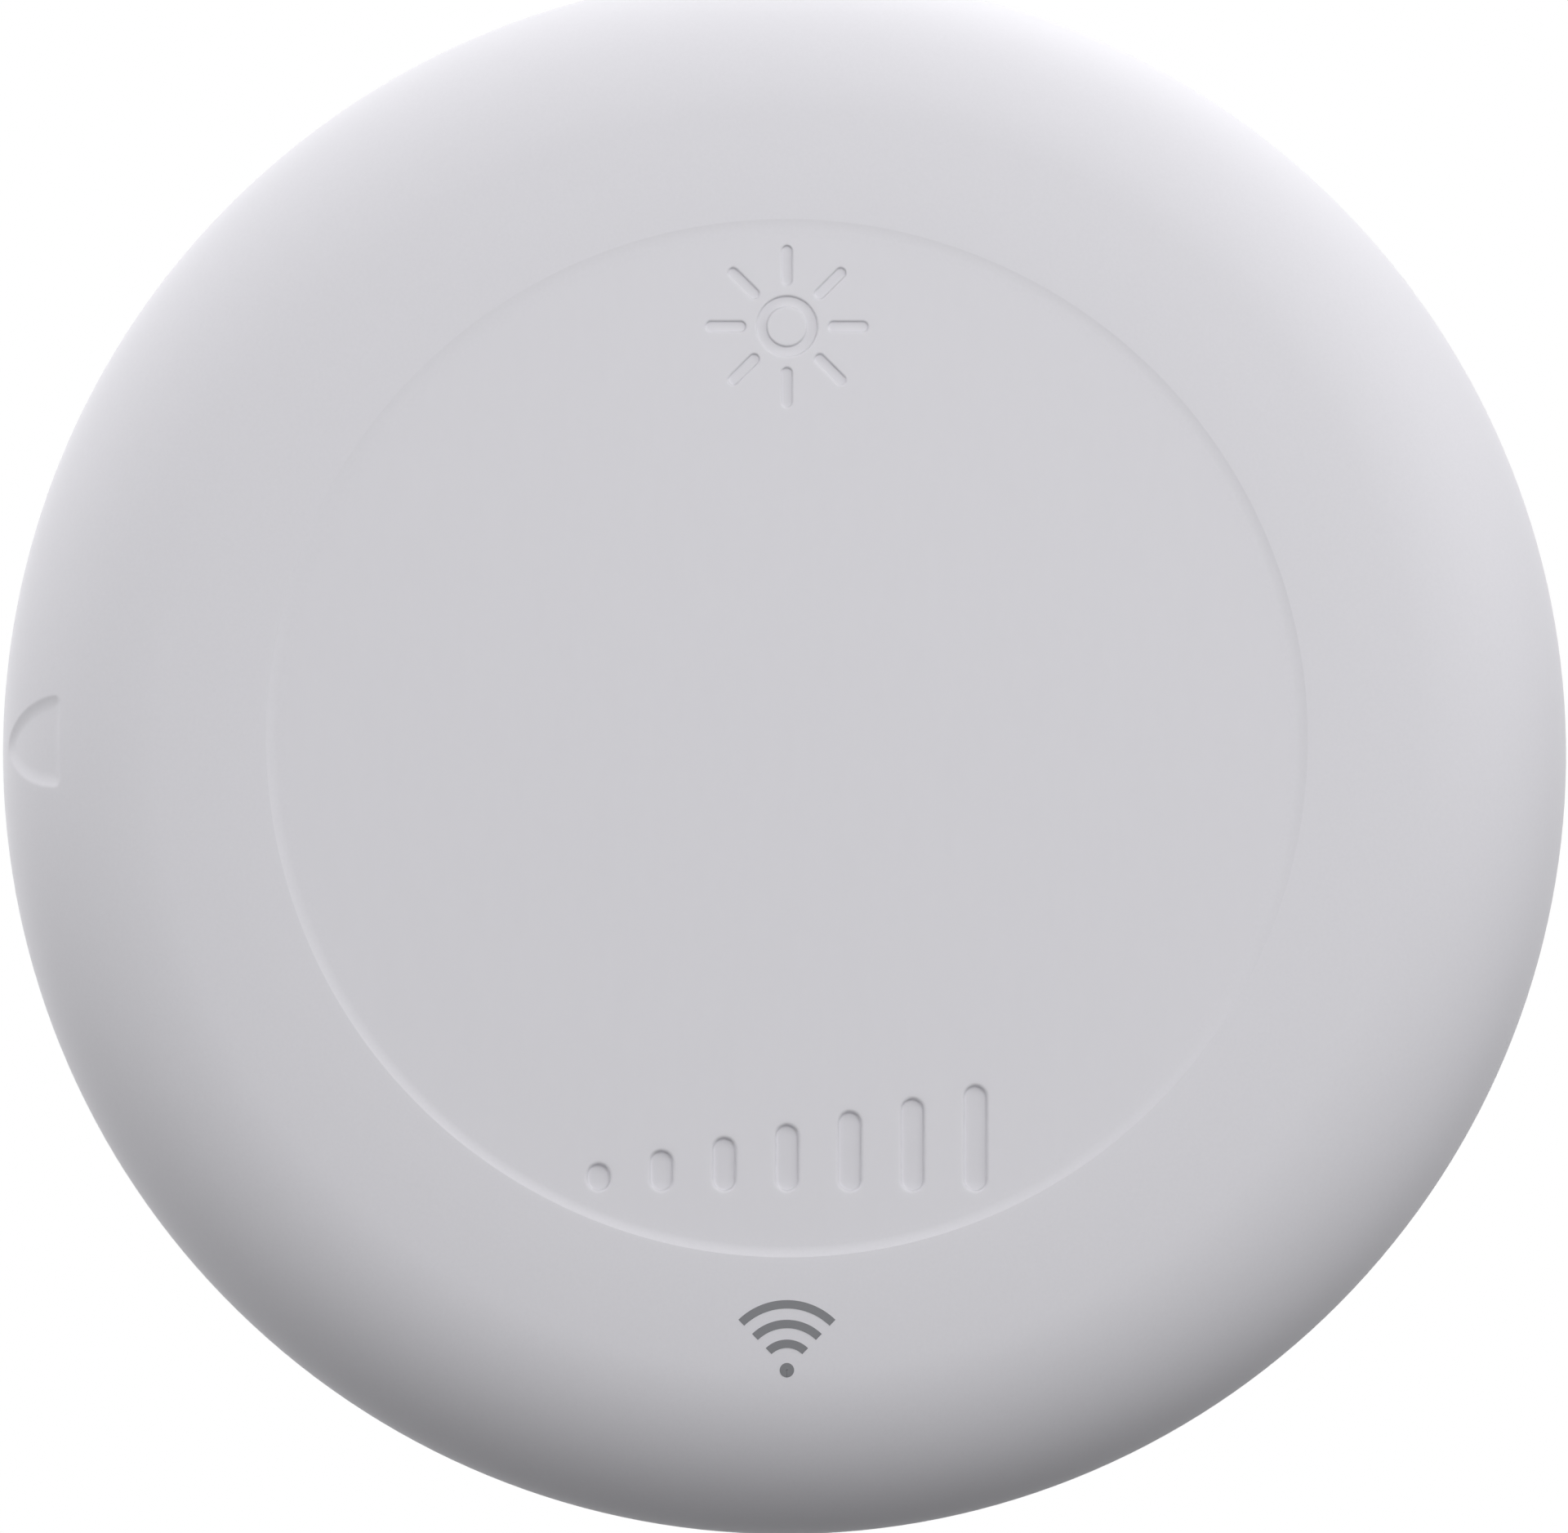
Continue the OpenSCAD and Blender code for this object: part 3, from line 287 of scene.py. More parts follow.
# Routes of the two leads, each from its contact in the bay to its pad on the board
POSITIVE_ROUTE = [
    [27.3, -29, 16.7], [28.6, -29, 16.7], [30.4, -28.4, 16.8], [33, -26, 17.4],
    [35, -22.5, 19.4], [36.2, -18.6, 20.9], [36.5, -16, 20.9], [36.5, -14.8, 20.2],
    [36.5, -14.8, 18.6],
]
NEGATIVE_ROUTE = [
    [27.3, -40.5, 16.7], [28.6, -40.5, 16.7], [29.6, -39.6, 17.4], [29.8, -36, 19.2],
    [29.8, -30, 20.8], [30.6, -23, 21.6], [32, -18, 21.4], [32.5, -15.6, 20.6],
    [32.5, -15, 19.8], [32.5, -15, 18.6],
]
# Half the battery bay's length, the thickness of its contacts, and the cells' rows and length
BAY_HALF, CONTACT = 25.4, 0.4
CELL_ROWS, CELL_Z, CELL_LENGTH = (-29.0, -40.5), 16.7, 44.5
# The board's top and radius, and the middles of what stands on it
BOARD_TOP, BOARD_R = 18.6, 45.217
ANTENNA_PLACE = (35.322, -7.2456)
CHIP = (-0.33 * BOARD_R, 0.25 * BOARD_R)
RADIO = (0.42 * BOARD_R, 0.3 * BOARD_R)
SWITCHES = (-28.94, 0.904)
# Height of the head's back, radius of the foot, and distance of the controls from the axis
BACK, FOOT_R, CONTROL_R = 9.0, 30.0, 37.0
# The label's middle, and the heights between which its lines lie
LABEL_X, LABEL_TOP = -41.904, (8.885, 8.91)


# Shapes as arrays


def to_frame(points):
    """Face frame in mm to the object's frame in metres: x stays, z runs along -y and y upwards."""
    p = np.asarray(points, float) * MM
    return np.stack([p[:, 0], -p[:, 2], p[:, 1]], axis=1)


def arc(centre, radius, first, last, steps):
    """Points centre + radius (cos a, sin a), with a in even steps between two angles in degrees."""
    a = np.radians(np.linspace(first, last, steps + 1))
    return np.stack([centre[0] + radius * np.cos(a), centre[1] + radius * np.sin(a)], axis=1)


def circle(centre, radius, steps):
    """A full circle about a centre, without its last point, which is its first."""
    return arc(centre, radius, 0, 360, steps)[:-1]


def polar(radius, degrees):
    """The point radius (cos a, sin a)."""
    a = math.radians(degrees)
    return np.array([radius * math.cos(a), radius * math.sin(a)])


def quads(rows, columns, closed=True):
    """Faces of a grid of points, each joining a point to the next column and the next row."""
    down = np.arange(rows - 1)[:, None] * columns
    across = np.arange(columns if closed else columns - 1)[None, :]
    beside = (across + 1) % columns
    corners = [down + across, down + beside, down + columns + beside, down + columns + across]
    return np.stack(corners, axis=-1).reshape(-1, 4)


def lathe(profile, turn, centre=(0.0, 0.0)):
    """Turns a profile of (radius, height) about an axis along z through the centre."""
    r, z = np.asarray(profile, float).T
    x = centre[0] + r[:, None] * np.cos(turn)
    y = centre[1] + r[:, None] * np.sin(turn)
    grid = np.stack([x, y, np.broadcast_to(z[:, None], x.shape)], axis=-1)
    return grid.reshape(-1, 3), quads(len(r), len(turn))


def even_turn(steps):
    """Angles of a full turn in even steps."""
    return np.linspace(0, 2 * math.pi, steps, endpoint=False)


def stadium(length_mm, width_mm, out, steps=14):
    """Outline of a bar with round ends along y, grown by out on all sides."""
    radius = max(width_mm / 2 + out, 0.0)
    half = (length_mm - width_mm) / 2
    ends = [arc((0, half), radius, 0, 180, steps), arc((0, -half), radius, 180, 360, steps)]
    return np.vstack(ends)


def turned(points, degrees, centre):
    """Turns flat points about the origin and moves them to the centre."""
    c, s = polar(1.0, degrees)
    x, y = np.asarray(points, float).T
    return np.stack([centre[0] + c * x - s * y, centre[1] + s * x + c * y], axis=1)


def at_height(flat, z):
    """Flat points lifted to a height, which may be one number or one for each point."""
    return np.column_stack([flat, np.broadcast_to(z, len(flat))])


def flat_fill(outline, holes, z):
    """Flat area between an outline and the outlines of its holes, as points and triangles."""
    loops = [outline, *holes]
    ends = np.cumsum([len(loop) for loop in loops])
    faces = [list(range(end - len(loop), end)) for loop, end in zip(loops, ends)]
    flat = np.vstack(loops)
    found = delaunay_2d_cdt([Vector(p) for p in flat.tolist()], [], faces, 1, 1e-7, True)
    corners = [source[0] for source in found[3]]
    kept = [[corners[i] for i in face] for face, area in zip(found[2], found[5]) if area == [0]]
    return at_height(flat, z), np.array(kept)


def groove_section(mark, reach=0.15):
    """Wall of a sunk mark as (outward, down) pairs: flat, top round, straight wall and floor round.
    The rounds are quarter circles that meet the flat, the wall and the floor without a kink."""
    top = arc((mark.top_round, -mark.top_round), mark.top_round, 90, 180, 5)
    floor = arc((-mark.floor_round, mark.floor_round - mark.depth), mark.floor_round, 0, -90, 4)
    return np.vstack([[[mark.top_round + reach, 0]], top, floor])


def along(route, steps):
    """Smooth curve through the points of a route: a Catmull-Rom cubic between each two of them."""
    p = np.asarray(route, float)
    p = np.vstack([p[:1], p, p[-1:]])
    a, b, c, d = (part[:, None, :] for part in (p[:-3], p[1:-2], p[2:-1], p[3:]))
    t = (np.arange(steps) / steps)[None, :, None]
    curve = b + t * (c - a) / 2 + t * t * (2 * a - 5 * b + 4 * c - d) / 2
    curve = curve + t * t * t * (3 * b - a - 3 * c + d) / 2
    return np.vstack([curve.reshape(-1, 3), p[-1:]])


def tube(path, radius, sides, reference):
    """Round wire along a path, closed to a point at its ends. Each ring stands square to the path,
    and its start points away from a reference direction, so that the rings never twist."""
    path = np.asarray(path, float)
    ahead = np.gradient(path, axis=0)
    ahead /= np.linalg.norm(ahead, axis=1, keepdims=True)
    side = np.cross(ahead, reference)
    side /= np.linalg.norm(side, axis=1, keepdims=True)
    up = np.cross(ahead, side)
    turn = even_turn(sides)[None, :, None]
    ring = np.cos(turn) * side[:, None, :] + np.sin(turn) * up[:, None, :]
    grid = path[:, None, :] + radius * ring
    first, last = (path[i, None, None, :].repeat(sides, 1) for i in (0, -1))
    return np.concatenate([first, grid, last]).reshape(-1, 3), quads(len(path) + 2, sides)


def walls_on(outline, low, high):
    """Upright walls on a flat outline."""
    levels = np.vstack([at_height(outline, low), at_height(outline, high)])
    return levels, quads(2, len(outline))


def prism(outline, low, high):
    """Upright walls on a flat outline with a flat fill at each end. The fill needs an outline that
    runs anticlockwise, so one with a negative area is turned round first."""
    outline = np.asarray(outline, float)
    x, y = outline.T
    if x @ np.roll(y, -1) < y @ np.roll(x, -1):
        outline = outline[::-1]
    ends = [flat_fill(outline, [], z) for z in (low, high)]
    return [walls_on(outline, low, high), *ends]


def frame_line(outline, inner, low, high):
    """A flat printed line between two outlines."""
    walls = [walls_on(edge, low, high) for edge in (outline, inner)]
    return [*walls, *[flat_fill(outline, [inner], z) for z in (low, high)]]


def ribbon(route, width):
    """Outline of a flat track along a route. At each corner the side steps are mitred: their sum is
    divided by one plus their product, so that the width stays even."""
    p = np.asarray(route, float)
    ahead = np.diff(p, axis=0)
    ahead /= np.linalg.norm(ahead, axis=1, keepdims=True)
    side = np.stack([-ahead[:, 1], ahead[:, 0]], axis=1)
    bent = (side[:-1] + side[1:]) / (1 + (side[:-1] * side[1:]).sum(1, keepdims=True))
    step = np.vstack([side[:1], bent, side[-1:]]) * width / 2
    return np.vstack([p + step, (p - step)[::-1]])


def rectangle(wide, tall, centre, corner=0.0):
    """Outline of a rectangle about a centre, with round corners where a radius is given."""
    x, y = wide / 2 - corner, tall / 2 - corner
    if not corner:
        return np.array([[x, y], [-x, y], [-x, -y], [x, -y]]) + centre
    ends = [((x, y), 0), ((-x, y), 90), ((-x, -y), 180), ((x, -y), 270)]
    return np.vstack([arc(at, corner, first, first + 90, 5) for at, first in ends]) + centre


def numeral(sign, body, centre, low, high):
    """A plain numeral that reads from behind the sensor, as points and faces. The font's size is
    1.4 times the height that its figures get."""
    text = bpy.data.curves.new("numeral", "FONT")
    text.body, text.size, text.extrude = sign, body * 1.4, 0.5
    text.align_x, text.align_y = "CENTER", "CENTER"
    text.resolution_u = 3
    carrier = bpy.data.objects.new("numeral", text)
    mesh = bpy.data.meshes.new_from_object(carrier)
    points = np.zeros(len(mesh.vertices) * 3)
    mesh.vertices.foreach_get("co", points)
    faces = [list(face.vertices) for face in mesh.polygons]
    points = points.reshape(-1, 3)
    bpy.data.objects.remove(carrier)
    bpy.data.meshes.remove(mesh)
    bpy.data.curves.remove(text)
    height = np.where(points[:, 2] > 0, low, high)
    return np.column_stack([centre[0] - points[:, 0], centre[1] + points[:, 1], height]), faces


# Pieces from arrays


def make_piece(name, patches, finishes, body, sharp=35.0, replaces=()):
    """Joins patches of (points, faces, finish number) to one closed piece: doubles are merged,
    faces are turned outwards, and edges that bend more than the sharp angle stay crisp."""
    points, faces, numbers, start = [], [], [], 0
    for patch in patches:
        points.append(to_frame(patch[0]))
        if isinstance(patch[1], list):
            faces.extend([[corner + start for corner in face] for face in patch[1]])
        else:
            faces.extend((patch[1] + start).tolist())
        numbers.extend([patch[2] if len(patch) > 2 else 0] * len(patch[1]))
        start += len(patch[0])
    mesh = bpy.data.meshes.new(name)
    mesh.from_pydata(np.vstack(points), [], faces)
    mesh.polygons.foreach_set("material_index", numbers)
    work = bmesh.new()
    work.from_mesh(mesh)
    bmesh.ops.remove_doubles(work, verts=work.verts, dist=WELD)
    bmesh.ops.dissolve_degenerate(work, edges=work.edges, dist=WELD / 10)
    bmesh.ops.recalc_face_normals(work, faces=work.faces)
    work.to_mesh(mesh)
    work.free()
    return place(name, mesh, finishes, body, sharp, replaces)


def place(name, mesh, finishes, body, sharp, replaces):
    """Links a finished mesh into the scene, gives it its finishes and ties it to its body."""
    for finish in finishes:
        mesh.materials.append(FINISHES[finish])
    mesh.shade_smooth()
    mesh.set_sharp_from_angle(angle=math.radians(sharp))
    piece = bpy.data.objects.new(name, mesh)
    bpy.context.scene.collection.objects.link(piece)
    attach(piece, body)
    if replaces:
        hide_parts(*replaces)
    return piece


def soften(node, width, finish, body, steps=2, bend=32.0):
    """Stands for a solid with a copy whose edges are rounded: the copy is welded, its flat seams
    are cleared, and each edge that bends more than the given angle gets a round of the given width.
    Its large flats then decide the shading of their edges, so that the rounds look even."""
    work = bmesh.new()
    work.from_mesh(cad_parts[node].data)
    bmesh.ops.remove_doubles(work, verts=work.verts, dist=WELD)
    bmesh.ops.dissolve_limit(
        work, angle_limit=math.radians(0.4), verts=work.verts, edges=work.edges
    )
    least = math.radians(bend)
    edges = [e for e in work.edges if e.is_manifold and e.calc_face_angle() > least]
    bmesh.ops.bevel(
        work, geom=edges, offset=width * MM, offset_type="OFFSET", segments=steps, profile=0.5,
        affect="EDGES", clamp_overlap=False, loop_slide=True,
    )
    bmesh.ops.recalc_face_normals(work, faces=work.faces)
    mesh = bpy.data.meshes.new(node + "_soft")
    work.to_mesh(mesh)
    work.free()
    piece = place(node + "_soft", mesh, [finish], body, 50.0, [node])
    shading = piece.modifiers.new("even_normals", "WEIGHTED_NORMAL")
    shading.keep_sharp = True
    shading.weight = 80


# Finishes


def add_node(tree, kind, inputs=None, **settings):
    """Adds one node, sets its properties, and fills its sockets with values or links."""
    made = tree.nodes.new(kind)
    for key, value in settings.items():
        setattr(made, key, value)
    for key, value in (inputs or {}).items():
        if isinstance(value, bpy.types.NodeSocket):
            tree.links.new(value, made.inputs[key])
        else:
            made.inputs[key].default_value = value
    return made


def grained(name, tone, grain_mm, swing, relief_mm, rough, rough_swing=0.04, stretch=(1, 1, 1),
            **sockets):
    """A finish whose grain has one size: the same noise lightens and darkens the colour by the
    swing, raises a relief of the given height, and shifts the roughness a little. The other values
    are constants on the shader's own sockets, whose names are given with _ for a space."""
    material = bpy.data.materials.new(name)
    material.use_nodes = True
    tree = material.node_tree
    shader = tree.nodes["Principled BSDF"]
    for key, value in sockets.items():
        shader.inputs[key.replace("_", " ")].default_value = value
    place_on = add_node(tree, "ShaderNodeTexCoord").outputs["Object"]
    spread = add_node(tree, "ShaderNodeMapping", {"Vector": place_on, "Scale": stretch}).outputs[0]
    grain = add_node(
        tree, "ShaderNodeTexNoise",
        {"Vector": spread, "Scale": 1 / (grain_mm * MM), "Detail": 3.0, "Roughness": 0.6},
    ).outputs[0]
    dark = tuple(c * (1 - swing) for c in tone[:3]) + (1.0,)
    light = tuple(min(c * (1 + swing), 1.0) for c in tone[:3]) + (1.0,)
    shade = add_node(
        tree, "ShaderNodeMix", {"Factor": grain, "A": dark, "B": light},
        data_type="RGBA", clamp_factor=True,
    ).outputs["Result"]
    sheen = add_node(
        tree, "ShaderNodeMapRange",
        {"Value": grain, "To Min": rough - rough_swing, "To Max": rough + rough_swing},
    ).outputs[0]
    relief = add_node(
        tree, "ShaderNodeBump", {"Height": grain, "Distance": relief_mm * MM, "Strength": 1.0}
    ).outputs[0]
    for key, value in (("Base Color", shade), ("Roughness", sheen), ("Normal", relief)):
        tree.links.new(value, shader.inputs[key])
    return SimpleNamespace(material=material, tree=tree, shader=shader, place_on=place_on)


METAL = {"Metallic": 1.0}
DRY = {"Specular_IOR_Level": 0.2}
FILM = {"rough_swing": 0.03}

# Each finish: its key, what it is, its colour as a hex value or as a name from the panel, then the
# grain's size in mm, the swing of the colour, the relief in mm, the roughness, and further values
FINISH_TABLE = [
    # White ASA from a spark-eroded tool: matt, with a fine even grain that shows as weak specks.
    # The grain's speckle is about 0.25 mm across.
    ("cover_ring", "cover_asa_spark_eroded", "cover_white", 0.25, 0.025, 0.004, 0.55, DRY),
    # The same resin from a stoned face of the tool: smoother, with faint streaks where it flowed.
    ("cover_face", "cover_asa_stoned", "cover_white", 1.2, 0.012, 0.002, 0.5,
     {"stretch": (1.0, 1.0, 0.35), **DRY}),
    # Pad-printed ink: a thin even film, a little glossier than the plastic, with soft pinholes.
    ("print_ink", "pad_printed_ink", "print_grey", 0.12, 0.04, 0.001, 0.42, {}),
    ("back_ink", "pad_printed_dark_ink", "#4A4C50", 0.12, 0.06, 0.001, 0.42, {}),
    # Light grey ASA, moulded matt: the tool's fine texture takes the shine off.
    ("shell_grey", "shell_asa_moulded", "shell_grey", 0.3, 0.03, 0.005, 0.52, {}),
    # Glass-filled nylon: fibres near the skin leave faint pale flecks and a drier sheen.
    ("foot_grey", "foot_nylon_glass_filled", "foot_grey", 0.4, 0.06, 0.006, 0.6,
     {"stretch": (1.0, 1.0, 0.4)}),
    # EPDM rubber, moulded: near black, dull, with a soft bloom on its skin.
    ("black_rubber", "epdm_rubber_moulded", "#1E1E20", 0.5, 0.2, 0.004, 0.72, {}),
    # Zinc-plated steel, turned and passivated: pale blue-grey metal with fine tool marks.
    ("screw_steel", "steel_zinc_plated", "#B9BDC3", 0.15, 0.06, 0.002, 0.32, METAL),
    # Nickel-plated spring strip, stamped: warm grey metal with the strip's rolling lines.
    ("nickel_strip", "spring_strip_nickel_plated", "#C9C4B8", 0.1, 0.05, 0.001, 0.24,
     {"stretch": (1, 0.08, 1), **METAL}),
    # Shrunk PET sleeve over a cell: a glossy coloured film with soft ripples.
    ("cell_sleeve", "cell_pet_sleeve", "#26568A", 2.0, 0.03, 0.006, 0.22, FILM),
    # The sleeve's band at the nipple end, in a plain bronze tone.
    ("cell_band", "cell_pet_sleeve_band", "#B98A4E", 2.0, 0.03, 0.006, 0.22, FILM),
    # Nickel-plated deep-drawn steel of the cells' ends: bright, with a soft swirl.
    ("cell_steel", "cell_steel_nickel_plated", "#C4C3BE", 0.3, 0.05, 0.001, 0.25, METAL),
    # PVC insulation, extruded: satin, slightly waxy.
    ("red_wire", "lead_pvc_red", "#B3201F", 0.4, 0.03, 0.002, 0.4, {}),
    ("black_wire", "lead_pvc_black", "#1B1B1D", 0.4, 0.1, 0.002, 0.4, {}),
    # Epoxy glass board under green solder mask: glossy, with the weave just showing through.
    ("board_green", "board_solder_mask", "#1F6B3C", 0.6, 0.06, 0.003, 0.3, {}),
    # Black PBT, moulded matt: soft shine with a fine even texture.
    ("black_moulding", "pbt_black_moulded", "#232426", 0.3, 0.1, 0.004, 0.5, {}),
    # Transfer-moulded epoxy of a chip: black with a fine sparkle from its filler.
    ("chip_black", "chip_epoxy_moulded", "#1D1D1F", 0.12, 0.15, 0.002, 0.55, {}),
    # Tin-plated steel, drawn: bright, with faint drawing lines.
    ("tinned_can", "can_tin_plated", "#CFCFCC", 0.2, 0.04, 0.001, 0.22,
     {"stretch": (0.1, 1, 1), **METAL}),
    # Enamelled copper wire: warm metal under a clear coat of lacquer.
    ("copper_wire", "copper_enamelled", "#C8733A", 0.5, 0.05, 0.001, 0.3,
     {"Coat_Weight": 0.6, **METAL}),
    # Shrunk vinyl sleeve on an aluminium can: a dark satin film with soft ripples.
    ("capacitor_sleeve", "capacitor_vinyl_sleeve", "#2B3350", 1.0, 0.05, 0.003, 0.3, {}),
    # Fired ceramic of chip parts: dry and slightly mottled, and glossier under black glaze.
    ("ceramic_tan", "ceramic_fired", "#A98B63", 0.25, 0.08, 0.003, 0.5, {}),
    ("ceramic_black", "resistor_overglaze", "#202022", 0.25, 0.1, 0.002, 0.35, {}),
    # Reflowed tin: bright and slightly rippled where it ran.
    ("tinned_pads", "solder_reflowed", "#C9CACB", 0.5, 0.05, 0.01, 0.3, METAL),
    # Copper under solder mask: the same green, lighter where the metal shines through.
    ("board_tracks", "board_mask_over_copper", "#3E9457", 0.6, 0.06, 0.003, 0.28, {}),
    # White printed legend on the board: thin and chalky.
    ("board_print", "board_legend_ink", "#DADCD8", 0.15, 0.05, 0.002, 0.6, {}),
    # Blue thermoset of a trimmer, moulded: glossy, with hardly any grain.
    ("trimmer_blue", "trimmer_thermoset", "#2A4FA8", 0.5, 0.04, 0.002, 0.3, {}),
    # White and grey ABS of the controls, moulded fine matt: a weak shine without specks.
    ("control_white", "dial_abs_moulded", "control_white", 0.25, 0.02, 0.003, 0.45, {}),
    ("button_grey", "button_abs_moulded", "button_grey", 0.25, 0.05, 0.003, 0.45, {}),
    # Clear epoxy of a light-emitting diode, with the yellow of its phosphor inside.
    ("led_epoxy", "led_clear_epoxy", "#D9E3A8", 0.5, 0.03, 0.001, 0.2, {}),
    # Matt polyester film of a bare label: even, with a faint sheen.
    ("label_film", "label_polyester_film", "#D5D6D7", 0.5, 0.01, 0.001, 0.38, {}),
    # Clear acrylic, flame-polished: lets light through with a faint cold tint at its edges.
    ("clear_rod", "acrylic_polished", "#EAF3F6", 2.0, 0.01, 0.001, 0.05,
     {"rough_swing": 0.01, "Transmission_Weight": 1.0, "IOR": 1.49}),
]
FINISHES = {}


def make_finishes(tones):
    """Makes every finish once, with the colours of the panel."""
    for key, name, tone, *values, more in FINISH_TABLE:
        tone = linear(tone) if tone.startswith("#") else tuple(getattr(tones, tone))
        FINISHES[key] = grained(name, tone, *values, **more).material


# The front cover


def cover_section(c):
    """Rows of the cover's outside from the face to the rear edge, and of its inside back to the
    ceiling, each as (radius, height). The step is a hollow and a round whose angles meet, and the
    crown, the roll and the side are arcs that touch each other."""
    rise = c.depth - c.face_z
    swing = math.acos(1 - rise / (c.step_hollow + c.step_round))
    crest = c.face_edge + (c.step_hollow + c.step_round) * math.sin(swing)
    lean = math.degrees(swing)
    hollow = arc((c.face_edge, c.face_z + c.step_hollow), c.step_hollow, -90, lean - 90, 10)
    edge = arc((crest, c.depth - c.step_round), c.step_round, 90 + lean, 90, 4)[1:]
    middle = c.roll_centre, c.equator
    side_centre = c.roll_centre + c.roll - c.side, c.equator
    crown_centre = c.crown_start, c.depth - c.crown
    low = -math.degrees(math.asin((c.equator - c.rear - c.rear_round) / c.side))
    outside = [
        [[c.face_edge - FACE_STRIP, c.face_z]],
        hollow,
        edge,
        arc(crown_centre, c.crown, 90, ROLL_TOP, 6),
        arc(middle, c.roll, ROLL_TOP, ROLL_SHOULDER, 12)[1:],
        arc(middle, c.roll, ROLL_SHOULDER, ROLL_FLANK, 76)[1:],
        arc(middle, c.roll, ROLL_FLANK, 0, 3)[1:],
        arc(side_centre, c.side, 0, low, 8)[1:],
    ]
    last = outside[-1][-1]
    inner_side = c.side - c.wall
    foot = -math.degrees(math.asin((c.equator - c.hollow_foot) / inner_side))
    half_round = c.rear_round / 2
    inside = [
        arc((last[0] - c.rear_round, c.rear + c.rear_round), c.rear_round, 0, -90, 4)[1:],
        arc((c.bore + half_round, c.rear + half_round), half_round, -90, -180, 3),
        [[c.bore, c.bore_top]],
        arc(side_centre, inner_side, foot, 0, 3),
        arc(middle, c.roll - c.wall, 0, ROLL_TOP, 14)[1:],
        arc(crown_centre, c.crown - c.wall, ROLL_TOP, 90, 3)[1:],
        [[c.face_edge, c.ceiling]],
    ]
    return np.vstack(outside), np.vstack(inside)


def sink_recess(points, c, m):
    """Sinks the D-shaped recess into the roll. Its outline is a straight side and half an ellipse
    joined with round corners. From the outline inwards the wall is a hollow: the depth grows as
    t (2 - t), where t is the distance from the outline in widths of the wall."""
    x, y, z = points.T
    out = np.hypot(x, y)
    rise = np.arctan2(z - c.equator, out - c.roll_centre)
    off_roll = np.abs(np.hypot(z - c.equator, out - c.roll_centre) - c.roll)
    on_roll = (off_roll < 0.001) & (x < 0)
    edge = math.acos((m.dent_edge - c.roll_centre) / c.roll)
    straight = c.roll * (edge - rise)
    u, v = (-x - m.dent_edge) / m.dent_l, y / m.dent_half
    far = np.maximum(np.hypot(u, v), 1e-6)
    slope = np.hypot(u / m.dent_l * np.abs(np.sin(rise)), v / m.dent_half) / far
    curved = (1 - far) / np.maximum(slope, 1e-6)
    gap = np.maximum(m.dent_corner - np.stack([straight, curved]), 0)
    inside = np.maximum(np.minimum(straight, curved), m.dent_corner) - np.hypot(*gap)
    t = np.clip(inside / m.dent_slope, 0, 1)
    sink = np.where(on_roll, m.dent_depth * t * (2 - t), 0)
    flat = sink * np.cos(rise) / out
    return np.stack([x - x * flat, y - y * flat, z - sink * np.sin(rise)], axis=1)


def lean_face(points, c):
    """Leans the face back: it is shifted along its normal in proportion to y, and the shift fades
    to nothing over the rise of the step, so that the step is low at the top and high at the bottom.
    The skin's inside and the ring beyond the crown's start are left as they are."""
    x, y, z = points.T
    rise = c.depth - c.face_z
    on_face = (np.hypot(x, y) < c.crown_start - 0.01) & (z > c.ceiling + c.pocket_depth + 0.1)
    share = 1 - np.clip(z - c.face_z, 0, rise) / rise
    lift = np.where(on_face, c.face_lean * y / c.face_edge * share, 0)
    return np.stack([x, y, z + lift], axis=1)


def cover_turn():
    """Angles of the cover's columns: even all round, and dense across the recess in the left."""
    reach, dense, even = math.radians(4.6), 76, 240
    near = np.linspace(math.pi - reach, math.pi + reach, dense)
    far = np.linspace(math.pi + reach, 3 * math.pi - reach, even)[1:-1]
    return np.concatenate([near, far]) % (2 * math.pi)


def sunk_bars(m):
    """Bars of the sun mark and of the level scale, as (length, width, turn, centre, share of the
    sun mark's depth and rounds)."""
    arm = (m.sun_over - m.ray) / 2
    rays = [
        (m.ray, m.stroke, angle, polar(arm, 90 + angle) + (0, m.sun_y), 1.0)
        for angle in range(0, 360, 45)
    ]
    count = 7
    reach = (m.scale_w - m.bar_w) / 2
    bars = []
    for i in range(count):
        tall = m.scale_h * (i + 2) / (count + 1)
        centre = (2 * reach * i / (count - 1) - reach, (tall - m.scale_h) / 2 - m.scale_drop)
        bars.append((tall, m.bar_w, 0, centre, m.bar_share))
    return rays + bars


def sunk_bar(bar, section, z):
    """One sunk bar: the section's rows as grown or shrunk outlines, closed along the bar's axis."""
    long, wide, turn, centre, share = bar
    rows = [
        at_height(turned(stadium(long, wide, out), turn, centre), z + down)
        for out, down in [*section * share, (-wide / 2, section[-1][1] * share)]
    ]
    return np.vstack(rows), quads(len(rows), len(rows[0]))


